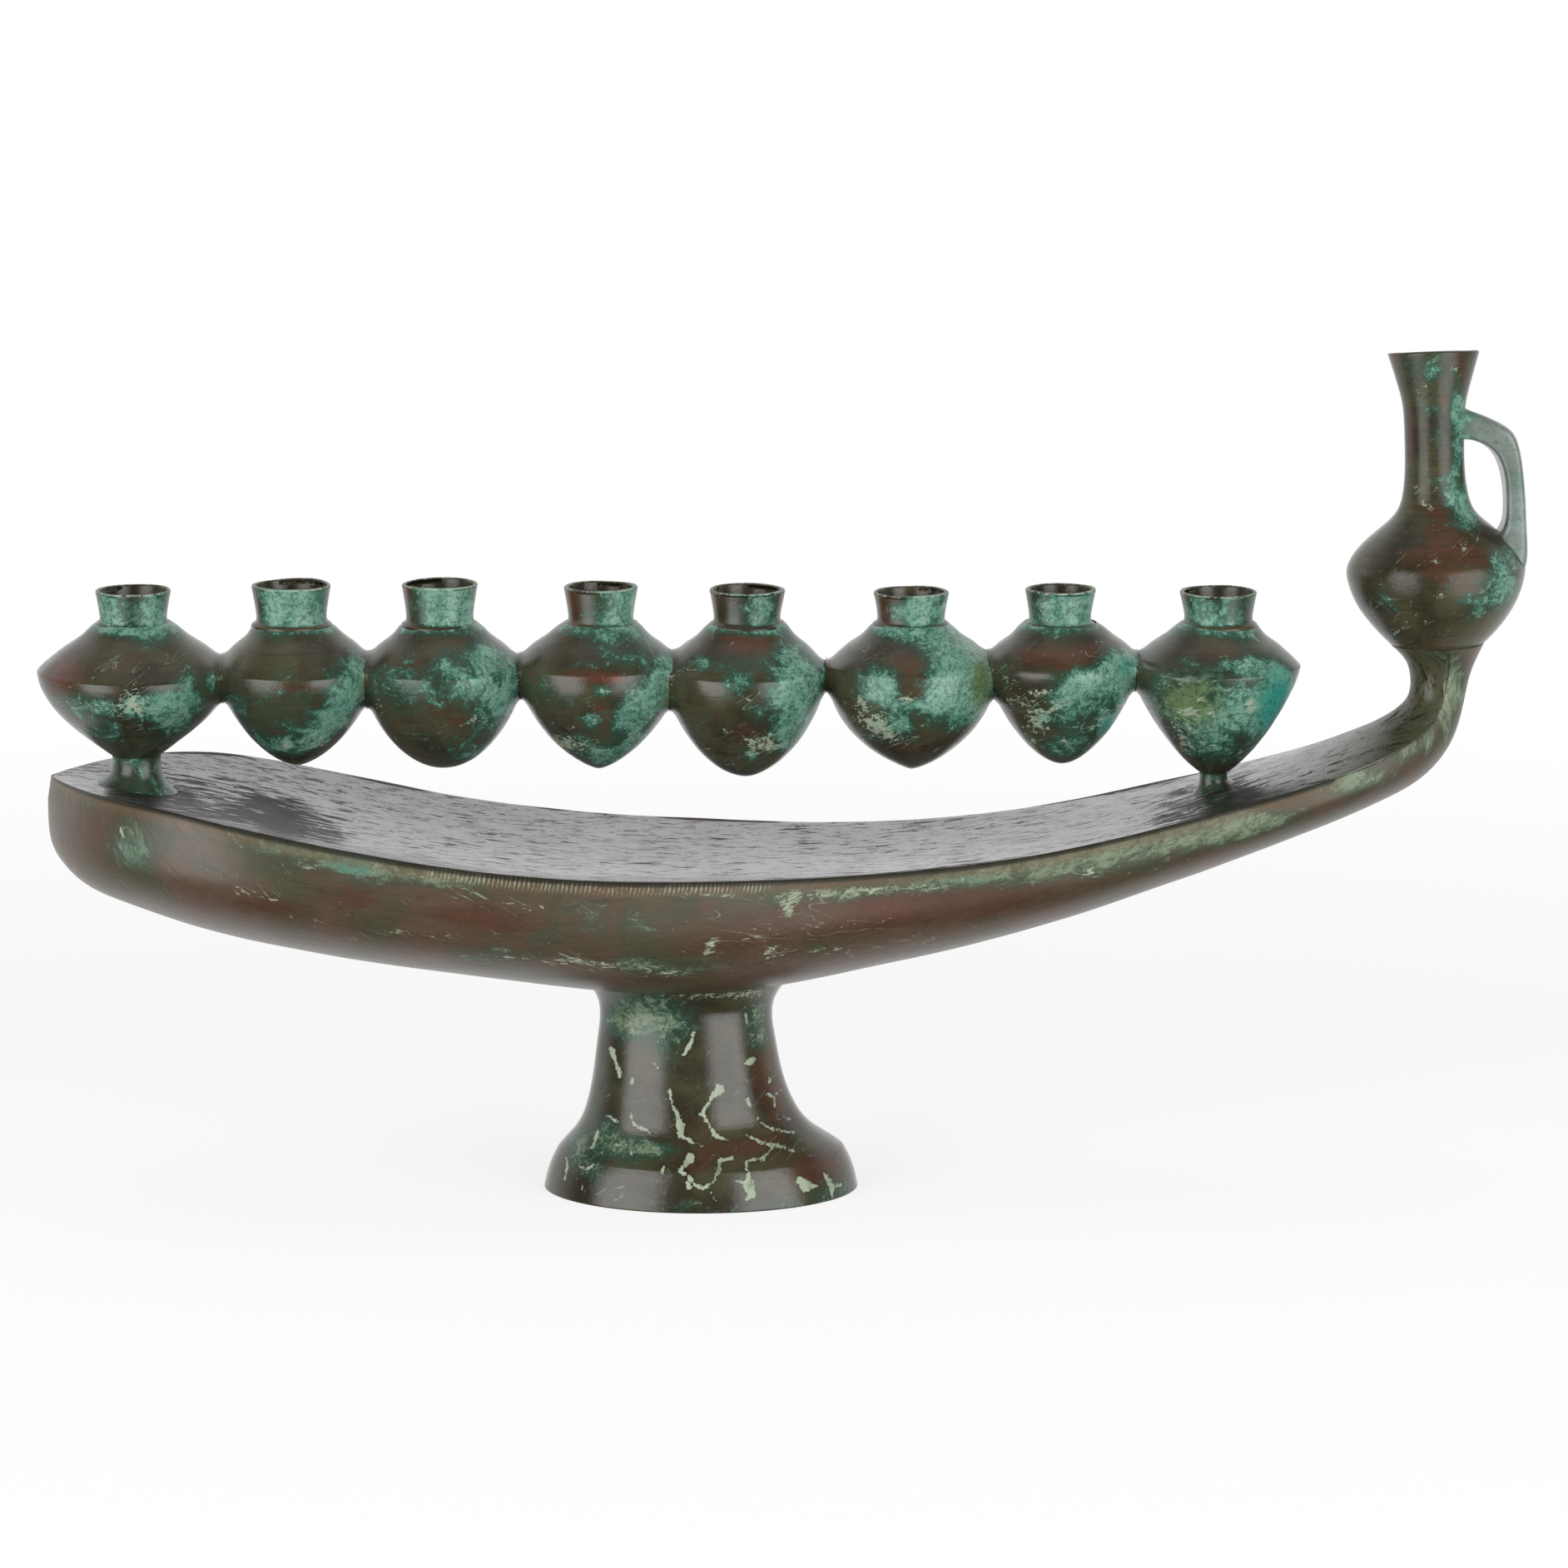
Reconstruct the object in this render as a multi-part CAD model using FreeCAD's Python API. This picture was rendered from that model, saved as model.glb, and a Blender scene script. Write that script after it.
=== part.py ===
import FreeCAD
import Part

import math
import os

# A nine-light oil lamp for the eight nights of Hanukkah, in patinated brass.
# A boat-shaped hollow hull stands on a flared oval pedestal. Its upturned tail carries a jug, the
# ninth light. Eight oil urns, brazed side by side, stand over the deck on two turned stems.
# Millimetres. X runs from bow to tail, Z is up, and the origin is the centre of the foot's underside.

V = FreeCAD.Vector
UP = V(0, 0, 1)

# Common making sizes.
OVERRUN = 1.0                   # how far a cutting tool runs past the piece it cuts
BRAZE_GAP = 0.05                # gap round a spigot or a bolt in its hole

# Pedestal: an oval flared column on a low plinth, hollow below a solid crown.
FOOT_HALF_LENGTH = 38.1         # half length of the foot along X
OVAL_SHARE = 0.75               # the oval's depth along Y as a share of its length
PLINTH_HALF_LENGTH = 34.6       # half length at the plinth's upper edge
PLINTH_HEIGHT = 9.6
COLUMN_HALF_LENGTH = 20.9       # half length at the column's waist
PEDESTAL_HEIGHT = 49.6          # from the table to the hull's keel
COLUMN_OFFSET = 3.5             # the column stands this far towards the bow at its top
CROWN_RISE = 3.6                # how far the crown's rim climbs round the hull's bottom
PEDESTAL_WALL = 3.2
CROWN_THICKNESS = 10.0          # solid metal between the hollow and the keel
PLINTH_EDGE_RADIUS = 0.9

# Hull: a hollow casting, closed by a dished deck plate brazed on its rim.
HULL_LENGTH = 341.0             # from the bow to the back of the tail
HULL_DEPTH = 33.4               # from keel to deck edge over the pedestal
HALF_BEAM = 45.6                # half of the deck's widest breadth
DECK_DISH = 3.4                 # how deep the deck is dished at its widest
HULL_WALL = 2.8
DECK_THICKNESS = 2.2
BOSS_RADIUS = 9.0
BOSS_HEIGHT = 15.5              # above the keel's outer face

# Tie bolt that pulls the pedestal up to the hull.
BOLT_RADIUS = 4.0
BOLT_THREAD_LENGTH = 11.0       # length that enters the boss above the keel
BOLT_TIP_CHAMFER = 0.8
BOLT_HEAD_FLATS = 13.0
BOLT_HEAD_HEIGHT = 5.3
WASHER_RADIUS = 9.0
WASHER_THICKNESS = 1.6

# Row of eight urns, from over the bow stem to over the tail stem.
BOW_STEM_SHARE = -0.3966        # the stems' places along the hull, from the origin, as shares of its length
TAIL_STEM_SHARE = 0.3617
URN_OVERLAP = 1.8               # how far mean neighbours reach into each other before they are cut flat
URN_BELLY_DEPTH = 22.4          # from the widest level down to the tip
URN_SHOULDER_HEIGHT = 12.9      # from the widest level up to the neck's seat
URN_ROW_LEVEL = 88.9            # height of the necks' seats above the keel
URN_WALL = 2.4
URN_FLOOR = 3.4
URN_SEAT_RADIUS = 8.7           # flat ring that the neck stands on
NECK_RIM_RADIUS = 9.0
NECK_BASE_RADIUS = 7.8
NECK_HEIGHT = 8.3
NECK_RIM_WALL = 1.0
NECK_BORE_RADIUS = 6.0          # bore at the neck's seat
NECK_SPIGOT_RADIUS = 6.8
NECK_SPIGOT_LENGTH = 2.0

# Stems under the first and the last urn.
STEM_SPIGOT_RADIUS = 2.2
STEM_SPIGOT_LENGTH = 2.0        # how far a stem enters its urn
BOW_STEM_RADIUS = 5.8
BOW_STEM_FLARE = 9.6
TAIL_STEM_RADIUS = 3.3
TAIL_STEM_FLARE = 5.6
STEM_COLLAR = 1.0               # straight length under the urn, before the flare

# Jug on the tail.
JUG_FOOT_RADIUS = 11.1          # also the tail's radius where it meets the jug
JUG_BODY_RADIUS = 21.2
JUG_BODY_LEVEL = 17.7           # widest level above the foot
JUG_NECK_RADIUS = 7.2
JUG_MOUTH_RADIUS = 10.9
JUG_HEIGHT = 69.4               # from foot to mouth
JUG_WALL = 1.8
JUG_MOUTH_WALL = 1.1
JUG_FLOOR_LEVEL = 6.5           # cavity floor above the foot
JUG_LEAN_BOW_DEG = 1.6
JUG_LEAN_BACK_DEG = 3.5
JUG_MOUTH_SKEW_DEG = 3.0        # the mouth is cut lower at the back by this angle
TAIL_SPIGOT_RADIUS = 3.6
TAIL_SPIGOT_LENGTH = 5.0

# Strap handle of the jug.
HANDLE_WIDTH = 13.0             # across the strap, along Y
HANDLE_REACH = 21.4             # from the jug's axis to the handle's outer face
HANDLE_TOP_LEVEL = 55.5         # where the strap leaves the neck, above the jug's foot
HANDLE_EDGE_RADIUS = 0.9

# Hull stations from bow to tail, as shares: deck X and keel X of the hull's length; deck Z and keel
# Z, above the keel's lowest level, of its depth; half breadth of the half beam; dish of the deck's
# dish, below zero where the deck is crowned; level of the widest line of the section's own depth;
# fullness of the section, where 2 is elliptical and more is squarer.
HULL_STATION_SHARES = [
    (-0.4540, 1.542, -0.4595, 1.370, 0.070, 0.00, 0.10, 2.2),
    (-0.4480, 1.543, -0.4590, 1.206, 0.170, 0.05, 0.14, 2.3),
    (-0.4375, 1.543, -0.4562, 1.066, 0.315, 0.20, 0.18, 2.3),
    (-0.4235, 1.542, -0.4480, 0.936, 0.478, 0.40, 0.20, 2.3),
    (-0.4035, 1.536, -0.4320, 0.797, 0.640, 0.62, 0.22, 2.3),
    (-0.3755, 1.515, -0.4030, 0.672, 0.798, 0.82, 0.23, 2.3),
    (-0.3370, 1.461, -0.3610, 0.537, 0.934, 0.96, 0.24, 2.3),
    (-0.2870, 1.360, -0.3020, 0.392, 1.000, 1.00, 0.24, 2.3),
    (-0.2120, 1.202, -0.2200, 0.235, 0.984, 0.95, 0.24, 2.3),
    (-0.1170, 1.061, -0.1200, 0.097, 0.948, 0.85, 0.24, 2.3),
    (0.0000, 1.000, 0.0000, 0.000, 0.853, 0.70, 0.24, 2.3),
    (0.1170, 1.015, 0.1240, 0.190, 0.722, 0.50, 0.23, 2.3),
    (0.2350, 1.138, 0.2460, 0.512, 0.655, 0.25, 0.21, 2.3),
    (0.3280, 1.337, 0.3400, 0.835, 0.608, -0.05, 0.19, 2.3),
    (0.4080, 1.550, 0.4220, 1.150, 0.550, -0.60, 0.17, 2.3),
    (0.4640, 1.725, 0.4810, 1.397, 0.470, -1.20, 0.12, 2.2),
    (0.4960, 1.852, 0.5140, 1.600, 0.330, -1.70, 0.05, 2.1),
    (0.5135, 1.975, 0.5305, 1.850, 0.222, -2.10, -0.06, 2.0),
]
BOW_TIP_SHARES = (-0.4569, 1.542)
# The tail's round end, from its waist to the jug's foot: centre, and radius as a share of the foot's.
TAIL_ROUND_SHARES = [(0.5200, 2.287, 0.652), (0.5203, 2.395, 0.766), (0.5178, 2.506, 1.0)]
TAIL_EDGE_SHARE = 0.20                  # how far the deck's edge lies behind that centre
PLATE_COUNT = 16                        # stations that the deck plate covers, from the bow
CAVITY_SKIP_COUNT = 3                   # of these, the first ones that are solid below it
DECK_ARC_POINTS = 7
SIDE_CURVE_POINTS = 15

# Urns from bow to tail: place as a share of the row; radius, belly depth and shoulder height as shares;
# shoulder power, belly power and belly roundness; neck height and neck width as shares; how far the neck
# is set towards the tail, as a share of its base radius.
URN_SHARES = [
    (0.0000, 1.205, 1.100, 0.90, 1.14, 1.80, 1.08, 0.94, 1.00, -0.01),
    (0.1493, 1.010, 1.065, 0.86, 1.13, 1.54, 0.66, 1.10, 1.05, -0.12),
    (0.2848, 1.040, 1.095, 0.85, 1.13, 1.44, 0.50, 1.13, 1.01, -0.06),
    (0.4290, 1.020, 1.135, 0.80, 1.34, 1.79, 0.73, 1.05, 0.97, 0.09),
    (0.5653, 1.040, 1.165, 0.89, 1.13, 1.52, 0.58, 0.97, 1.00, 0.06),
    (0.7192, 1.046, 1.140, 0.80, 1.18, 2.30, 0.79, 0.90, 1.00, -0.02),
    (0.8590, 0.975, 1.076, 0.80, 1.54, 1.22, 0.57, 0.98, 0.93, -0.08),
    (1.0000, 1.059, 1.251, 0.80, 1.13, 1.33, 0.73, 0.91, 1.02, 0.09),
]
BELLY_POINTS = 4
SHOULDER_POINTS = 2
HOLLOW_POINTS = 2

# Jug outline as shares. Heights are shares of the body's level below it, and of the rest above it.
# Radii run from foot to body, then from neck to body, then from neck to mouth.
JUG_LOWER_SHARES = [(0.0, 0.0), (0.26, 0.15), (0.50, 0.31), (0.73, 0.50), (0.89, 0.70), (0.975, 0.87)]
JUG_SHOULDER_SHARES = [(1.0, 0.0), (0.92, 0.062), (0.70, 0.137), (0.38, 0.213), (0.14, 0.280), (0.04, 0.360),
                       (0.0, 0.480)]
JUG_NECK_SHARES = [(0.0, 0.640), (0.10, 0.770), (0.43, 0.865), (1.0, 1.0)]

# Handle outlines as shares of its reach and of its top level, from the neck down to the shoulder.
HANDLE_OUTER_SHARES = [(0.20, 1.011), (0.49, 0.985), (0.70, 0.950), (0.86, 0.907), (0.935, 0.837),
                       (0.970, 0.713), (0.990, 0.595), (1.0, 0.438), (0.985, 0.337), (0.80, 0.213)]
HANDLE_INNER_SHARES = [(0.20, 0.893), (0.49, 0.863), (0.64, 0.820), (0.718, 0.764), (0.762, 0.663),
                       (0.762, 0.584), (0.735, 0.511), (0.52, 0.415)]

# Pedestal outline as shares: half length from column to plinth edge, and height from plinth to keel;
# for the plinth, half length from its upper edge to the foot, and height.
COLUMN_SHARES = [(1.0, 0.0), (0.79, 0.060), (0.59, 0.120), (0.42, 0.195), (0.30, 0.280), (0.20, 0.385),
                 (0.12, 0.510), (0.05, 0.670), (0.0, 0.830), (0.04, 0.920), (0.12, 0.975)]
PLINTH_SHARES = [(1.0, 0.0), (0.72, 0.40), (0.36, 0.75), (0.0, 1.0)]
CROWN_FLARE_SHARE = 0.40                # the crown's rim, on the same scale


def between(low, high, share):
    return low + (high - low) * share


def power(value, exponent):
    """The value's size raised to the exponent, with its sign kept."""
    return math.copysign(abs(value) ** exponent, value)


def spline(points):
    """A smooth edge through the points, with a knot at each at even steps."""
    curve = Part.BSplineCurve()
    last = len(points) - 1
    curve.interpolate(Points=points, Parameters=[i / last for i in range(len(points))])
    return curve.toShape()


def arcs(points):
    """Arcs through each three points in turn, sharing their ends."""
    return [Part.Arc(*points[i:i + 3]).toShape() for i in range(0, len(points) - 2, 2)]


def lines(points):
    return [Part.makeLine(a, b) for a, b in zip(points, points[1:])]


def lofted(wires):
    return Part.makeLoft(wires, True, False)


def turned(edges):
    """A solid turned about the Z axis from a closed outline in the XZ plane."""
    return Part.Face(Part.Wire(edges)).revolve(V(0, 0, 0), UP, 360)


def profile(points):
    return [V(radius, 0, height) for radius, height in points]


class Station:
    """One cross-section of the hull, in the plane through its deck point and its keel point."""

    def __init__(self, deck, keel, half_breadth, dish, side_share, fullness):
        self.deck = deck
        self.down = (keel - deck).normalize()
        self.depth = deck.distanceToPoint(keel)
        self.half_breadth = half_breadth
        self.dish = dish
        self.side_level = side_share * self.depth
        self.fullness = fullness

    def point(self, across, depth):
        return self.deck + V(0, across, 0) + self.down * depth

    def deck_arc(self, widen=0.0, sink=0.0):
        """Points of the deck's arc from one edge to the other, widened and sunk where asked."""
        sag = self.dish if abs(self.dish) > BRAZE_GAP else BRAZE_GAP
        half_angle = 2 * math.atan(abs(sag) / self.half_breadth)
        points = []
        for i in range(DECK_ARC_POINTS):
            angle = half_angle * (1 - 2 * i / (DECK_ARC_POINTS - 1))
            across = (self.half_breadth + widen) * math.sin(angle) / math.sin(half_angle)
            rise = (math.cos(angle) - math.cos(half_angle)) / (1 - math.cos(half_angle))
            points.append(self.point(across, sag * rise + sink))
        return points

    def side_curve(self, inset=0.0):
        """Points of side and bottom on a superellipse, from one deck edge round the keel to the other."""
        below = self.depth - self.side_level
        rise = abs(self.side_level / below) ** (self.fullness / 2)
        edge_angle = math.copysign(math.asin(rise), self.side_level)
        widest = self.half_breadth / math.cos(edge_angle) ** (2 / self.fullness)
        points = []
        for i in range(SIDE_CURVE_POINTS):
            angle = between(-edge_angle, math.pi + edge_angle, i / (SIDE_CURVE_POINTS - 1))
            across = (widest - inset) * power(math.cos(angle), 2 / self.fullness)
            depth = self.side_level + (below - inset) * power(math.sin(angle), 2 / self.fullness)
            points.append(self.point(across, depth))
        return points

    def section(self, inset=0.0, sink=0.0):
        """The closed outline of the section, drawn in by inset and with its deck sunk."""
        arc = self.deck_arc(-inset, sink)
        side = self.side_curve(inset)
        return Part.Wire([spline(arc), spline([arc[-1]] + side[-2:0:-1] + [arc[0]])])

    def plate_section(self, ahead=0.0):
        """The deck plate's underside with a high roof over it, past both sides of the hull."""
        low = [p - V(ahead, 0, 0) for p in self.deck_arc(OVERRUN, DECK_THICKNESS)]
        lift = self.down * -(self.depth + DECK_THICKNESS)
        return Part.Wire([spline(low)] + lines([low[-1], low[-1] + lift, low[0] + lift, low[0]]))


def hull_point(x_share, z_share):
    return V(x_share * HULL_LENGTH, 0, PEDESTAL_HEIGHT + z_share * HULL_DEPTH)


def hull_stations():
    """The stations from bow to tail, without the tail's round end."""
    stations = []
    for deck_x, deck_z, keel_x, keel_z, breadth, dish, side, fullness in HULL_STATION_SHARES:
        deck, keel = hull_point(deck_x, deck_z), hull_point(keel_x, keel_z)
        stations.append(Station(deck, keel, breadth * HALF_BEAM, dish * DECK_DISH, side, fullness))
    return stations


def jug_placement():
    """Where the upright jug goes: on the tail's end, leaning to the bow and away from the front."""
    lean_bow = math.tan(math.radians(JUG_LEAN_BOW_DEG))
    lean_back = math.tan(math.radians(JUG_LEAN_BACK_DEG))
    return FreeCAD.Placement(tail_end(), FreeCAD.Rotation(UP, V(-lean_bow, lean_back, 1)))


def tail_end():
    """The centre of the tail's round end, where the jug stands."""
    x_share, z_share, _ = TAIL_ROUND_SHARES[-1]
    return hull_point(x_share, z_share)


def tail_rounds():
    """The tail's round rings, each written as a station of the hull."""
    lean_bow = math.radians(JUG_LEAN_BOW_DEG)
    back = V(math.cos(lean_bow), 0, math.sin(lean_bow))
    rounds = []
    for x_share, z_share, radius_share in TAIL_ROUND_SHARES:
        centre = hull_point(x_share, z_share)
        radius = radius_share * JUG_FOOT_RADIUS
        behind = TAIL_EDGE_SHARE * radius
        half_breadth = math.sqrt(radius ** 2 - behind ** 2)
        side = -behind / (radius - behind)
        rounds.append(Station(centre + back * behind, centre + back * radius, half_breadth,
                              -(radius + behind), side, 2.0))
    return rounds


def hull_outside(stations):
    """Hull, deck and tail as one solid form."""
    tip = Part.Vertex(hull_point(*BOW_TIP_SHARES))
    return lofted([tip] + [s.section() for s in stations + tail_rounds()])


def deck_space(stations):
    """The space that the deck plate takes, past the hull's sides and past the bow."""
    plated = stations[:PLATE_COUNT]
    ahead = plated[0].plate_section(ahead=DECK_THICKNESS + 2 * OVERRUN)
    return lofted([ahead] + [s.plate_section() for s in plated])


def hull_hollow(stations):
    """The cored inside, many-sided in section."""
    wires = []
    for station in stations[CAVITY_SKIP_COUNT:PLATE_COUNT:2]:
        sunk = DECK_THICKNESS - OVERRUN
        side = station.side_curve(HULL_WALL)[::2]
        side[0], side[-1] = side[0] + station.down * sunk, side[-1] + station.down * sunk
        roof = station.point(0, station.dish + sunk)
        wires.append(Part.makePolygon(side + [roof] + side[:1]))
    return lofted(wires)


def deck_height(outside, x):
    """The height of the deck's middle line at x."""
    probe = Part.makeLine(V(x, 0, PEDESTAL_HEIGHT), V(x, 0, PEDESTAL_HEIGHT + 2 * JUG_HEIGHT))
    return outside.common(probe).BoundBox.ZMax


def pedestal_centre_x(flare_share):
    return -COLUMN_OFFSET * (1 - min(max(flare_share, 0.0), 1.0))


def oval(half_length, x, z):
    """An upright oval ring, longer along X than along Y."""
    ellipse = Part.Ellipse(V(x, 0, z), half_length, half_length * OVAL_SHARE)
    return Part.Wire(ellipse.toShape())


def column_rings(inset=0.0):
    """Ovals from the plinth's edge to the waist, then to the crown's rim."""
    rings = []
    for share, height in COLUMN_SHARES:
        past_waist = height > COLUMN_SHARES[-3][1]
        x = pedestal_centre_x(0.0 if past_waist else share)
        z = between(PLINTH_HEIGHT, PEDESTAL_HEIGHT, height)
        rings.append(oval(between(COLUMN_HALF_LENGTH, PLINTH_HALF_LENGTH, share) - inset, x, z))
    rim = between(COLUMN_HALF_LENGTH, PLINTH_HALF_LENGTH, CROWN_FLARE_SHARE)
    rings.append(oval(rim - inset, pedestal_centre_x(0.0), PEDESTAL_HEIGHT + CROWN_RISE))
    return rings


def plinth_rings(inset=0.0):
    rings = []
    for share, height in PLINTH_SHARES:
        half_length = between(PLINTH_HALF_LENGTH, FOOT_HALF_LENGTH, share) - inset
        rings.append(oval(half_length, 0, height * PLINTH_HEIGHT))
    return rings


def pedestal(outside):
    """The hollow foot, its crown dressed to the hull's bottom and drilled for the tie bolt."""
    reach = 2 * FOOT_HALF_LENGTH
    above = Part.makeBox(2 * reach, 2 * reach, HULL_DEPTH, V(-reach, -reach, PEDESTAL_HEIGHT - OVERRUN))
    hull_bottom = outside.common(above)
    body = lofted(plinth_rings()).fuse(lofted(column_rings())).removeSplitter()
    edge = [e for e in body.Edges if abs(e.BoundBox.ZMax - PLINTH_HEIGHT) + e.BoundBox.ZLength < BRAZE_GAP]
    body = body.makeFillet(PLINTH_EDGE_RADIUS, edge)
    hollow = lofted(plinth_rings(PEDESTAL_WALL)).fuse(lofted(column_rings(PEDESTAL_WALL)))
    ceiling = PEDESTAL_HEIGHT - CROWN_THICKNESS
    hollow = hollow.cut(Part.makeBox(2 * reach, 2 * reach, reach, V(-reach, -reach, ceiling)))
    hole = Part.makeCylinder(BOLT_RADIUS + BRAZE_GAP, PEDESTAL_HEIGHT, V(-COLUMN_OFFSET, 0, ceiling - OVERRUN))
    return body.cut(hollow).cut(hole).cut(hull_bottom)


def pedestal_bolt():
    """Hexagon-headed bolt, driven from below."""
    head_top = PEDESTAL_HEIGHT - CROWN_THICKNESS - WASHER_THICKNESS
    centre = V(-COLUMN_OFFSET, 0, head_top)
    corner = BOLT_HEAD_FLATS / math.sqrt(3)
    low = centre - V(0, 0, BOLT_HEAD_HEIGHT)
    ring = [low + V(corner * math.cos(i * math.pi / 3), corner * math.sin(i * math.pi / 3), 0) for i in range(7)]
    head = Part.Face(Part.makePolygon(ring)).extrude(V(0, 0, BOLT_HEAD_HEIGHT))
    length = WASHER_THICKNESS + CROWN_THICKNESS + BOLT_THREAD_LENGTH
    shank = Part.makeCylinder(BOLT_RADIUS, length, centre)
    tip = [e for e in shank.Edges if e.BoundBox.ZMin > centre.z + length - BRAZE_GAP]
    return head.fuse(shank.makeChamfer(BOLT_TIP_CHAMFER, tip)).removeSplitter()


def pedestal_washer():
    bottom = V(-COLUMN_OFFSET, 0, PEDESTAL_HEIGHT - CROWN_THICKNESS - WASHER_THICKNESS)
    disc = Part.makeCylinder(WASHER_RADIUS, WASHER_THICKNESS, bottom)
    return disc.cut(Part.makeCylinder(BOLT_RADIUS + BRAZE_GAP, WASHER_THICKNESS, bottom))


def hull_shell(outside, stations, plate_space):
    """The cast hull with its open top, bolt boss, solid tail and the spigot that enters the jug."""
    shell = outside.cut(plate_space).cut(hull_hollow(stations))
    boss_top = V(-COLUMN_OFFSET, 0, PEDESTAL_HEIGHT - OVERRUN)
    boss = Part.makeCylinder(BOSS_RADIUS, BOSS_HEIGHT + OVERRUN, boss_top).common(outside)
    hole_depth = BOLT_THREAD_LENGTH + OVERRUN
    hole = Part.makeCylinder(BOLT_RADIUS + BRAZE_GAP, hole_depth + OVERRUN, boss_top)
    spigot = Part.makeCylinder(TAIL_SPIGOT_RADIUS, TAIL_SPIGOT_LENGTH + OVERRUN, V(0, 0, -OVERRUN))
    spigot.Placement = jug_placement()
    return shell.fuse([boss, spigot]).cut(hole)


def deck_plate(outside, plate_space, stem_places):
    """The dished plate, drilled for the two stems."""
    plate = outside.common(plate_space)
    for x in stem_places:
        level = deck_height(outside, x)
        hole = Part.makeCylinder(STEM_SPIGOT_RADIUS + BRAZE_GAP, HULL_DEPTH, V(x, 0, level - HULL_DEPTH / 2))
        plate = plate.cut(hole)
    return plate


class Urn:
    """One oil urn of the row, placed and shaped by its line of shares."""

    def __init__(self, shares, stem_radius=None):
        (place, radius, depth, shoulder, shoulder_power, belly_power, roundness,
         neck_height, neck_width, neck_offset) = shares
        row_length = (TAIL_STEM_SHARE - BOW_STEM_SHARE) * HULL_LENGTH
        pitch = row_length / (len(URN_SHARES) - 1)
        self.x = BOW_STEM_SHARE * HULL_LENGTH + place * row_length
        self.radius = radius * (pitch + URN_OVERLAP) / 2
        self.depth = depth * URN_BELLY_DEPTH
        self.shoulder = shoulder * URN_SHOULDER_HEIGHT
        self.z = PEDESTAL_HEIGHT + URN_ROW_LEVEL - self.shoulder
        self.neck_height = neck_height * NECK_HEIGHT
        self.neck_width = neck_width
        self.neck_place = V(neck_offset * NECK_BASE_RADIUS, 0, self.shoulder)
        self.shoulder_power = shoulder_power
        self.belly_power = belly_power
        self.roundness = roundness
        self.place = V(self.x, 0, self.z)
        self.foot_level = self.stem_level(stem_radius) if stem_radius else None

    def stem_level(self, stem_radius):
        """The height above the table where the belly has narrowed to its stem."""
        fall = 1 - (stem_radius / self.radius) ** (1 / self.roundness)
        return self.z - self.depth * fall ** (1 / self.belly_power)

    def shoulder_radius(self, height, inset=0.0):
        swell = 1 - (height / self.shoulder) ** self.shoulder_power
        return between(URN_SEAT_RADIUS, self.radius, swell) - inset

    def belly_radius(self, drop, inset=0.0, floor=0.0):
        share = min(drop / (self.depth - floor), 1.0)
        return (self.radius - inset) * (1 - share ** self.belly_power) ** self.roundness

    def outline(self):
        """Arcs from the neck's seat over the widest level, then a round cap down to the tip."""
        points = []
        for i in range(SHOULDER_POINTS):
            height = self.shoulder * (1 - i / SHOULDER_POINTS)
            points.append((self.shoulder_radius(height), height))
        for i in range(BELLY_POINTS + 1):
            drop = self.depth * math.sin(math.pi / 2 * i / (BELLY_POINTS + 1))
            points.append((self.belly_radius(drop), -drop))
        edge_radius, edge_height = points[-1]
        rise = edge_height + self.depth
        cap_radius = (edge_radius ** 2 + rise ** 2) / (2 * rise)
        half = math.asin(min(edge_radius / cap_radius, 1.0)) / 2
        middle = (cap_radius * math.sin(half), -self.depth + cap_radius * (1 - math.cos(half)))
        return arcs(profile(points + [middle, (0.0, -self.depth)]))

    def hollow(self):
        """The inside, cone by cone from the shoulder down to the floor."""
        hole = NECK_SPIGOT_RADIUS + BRAZE_GAP
        swell = (hole + URN_WALL - URN_SEAT_RADIUS) / (self.radius - URN_SEAT_RADIUS)
        top = self.shoulder * (1 - swell) ** (1 / self.shoulder_power)
        points = [(0.0, top)]
        for i in range(HOLLOW_POINTS):
            height = top * (1 - i / HOLLOW_POINTS)
            points.append((self.shoulder_radius(height, URN_WALL), height))
        for i in range(HOLLOW_POINTS + 1):
            drop = (self.depth - URN_FLOOR) * math.sin(math.pi / 2 * i / (HOLLOW_POINTS + 1))
            points.append((self.belly_radius(drop, URN_WALL, URN_FLOOR), -drop))
        points += [(0.0, points[-1][1]), (0.0, top)]
        return turned(lines(profile(points)))

    def body(self, low_x, high_x):
        """The hollow body, flat where a neighbour meets it, and drilled for its neck and its stem."""
        solid = turned(self.outline() + lines(profile([(0.0, -self.depth), (0.0, self.shoulder),
                                                       (URN_SEAT_RADIUS, self.shoulder)])))
        hole = Part.makeCylinder(NECK_SPIGOT_RADIUS * self.neck_width + BRAZE_GAP, self.shoulder + OVERRUN)
        hole.translate(self.neck_place - V(0, 0, self.shoulder))
        solid = solid.cut(self.hollow().fuse(hole))
        solid.translate(self.place)
        reach = 4 * self.radius
        corner = self.place - V(reach, reach / 2, reach)
        if low_x is not None:
            solid = solid.cut(Part.makeBox(reach, reach, 2 * reach, V(low_x - reach, corner.y, corner.z)))
        if high_x is not None:
            solid = solid.cut(Part.makeBox(reach, reach, 2 * reach, V(high_x, corner.y, corner.z)))
        if self.foot_level:
            solid = solid.cut(Part.makeBox(2 * reach, reach, reach, V(corner.x, corner.y, self.foot_level - reach)))
            solid = solid.cut(Part.makeCylinder(STEM_SPIGOT_RADIUS + BRAZE_GAP, STEM_SPIGOT_LENGTH + OVERRUN,
                                                V(self.x, 0, self.foot_level - OVERRUN)))
        return solid

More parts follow.
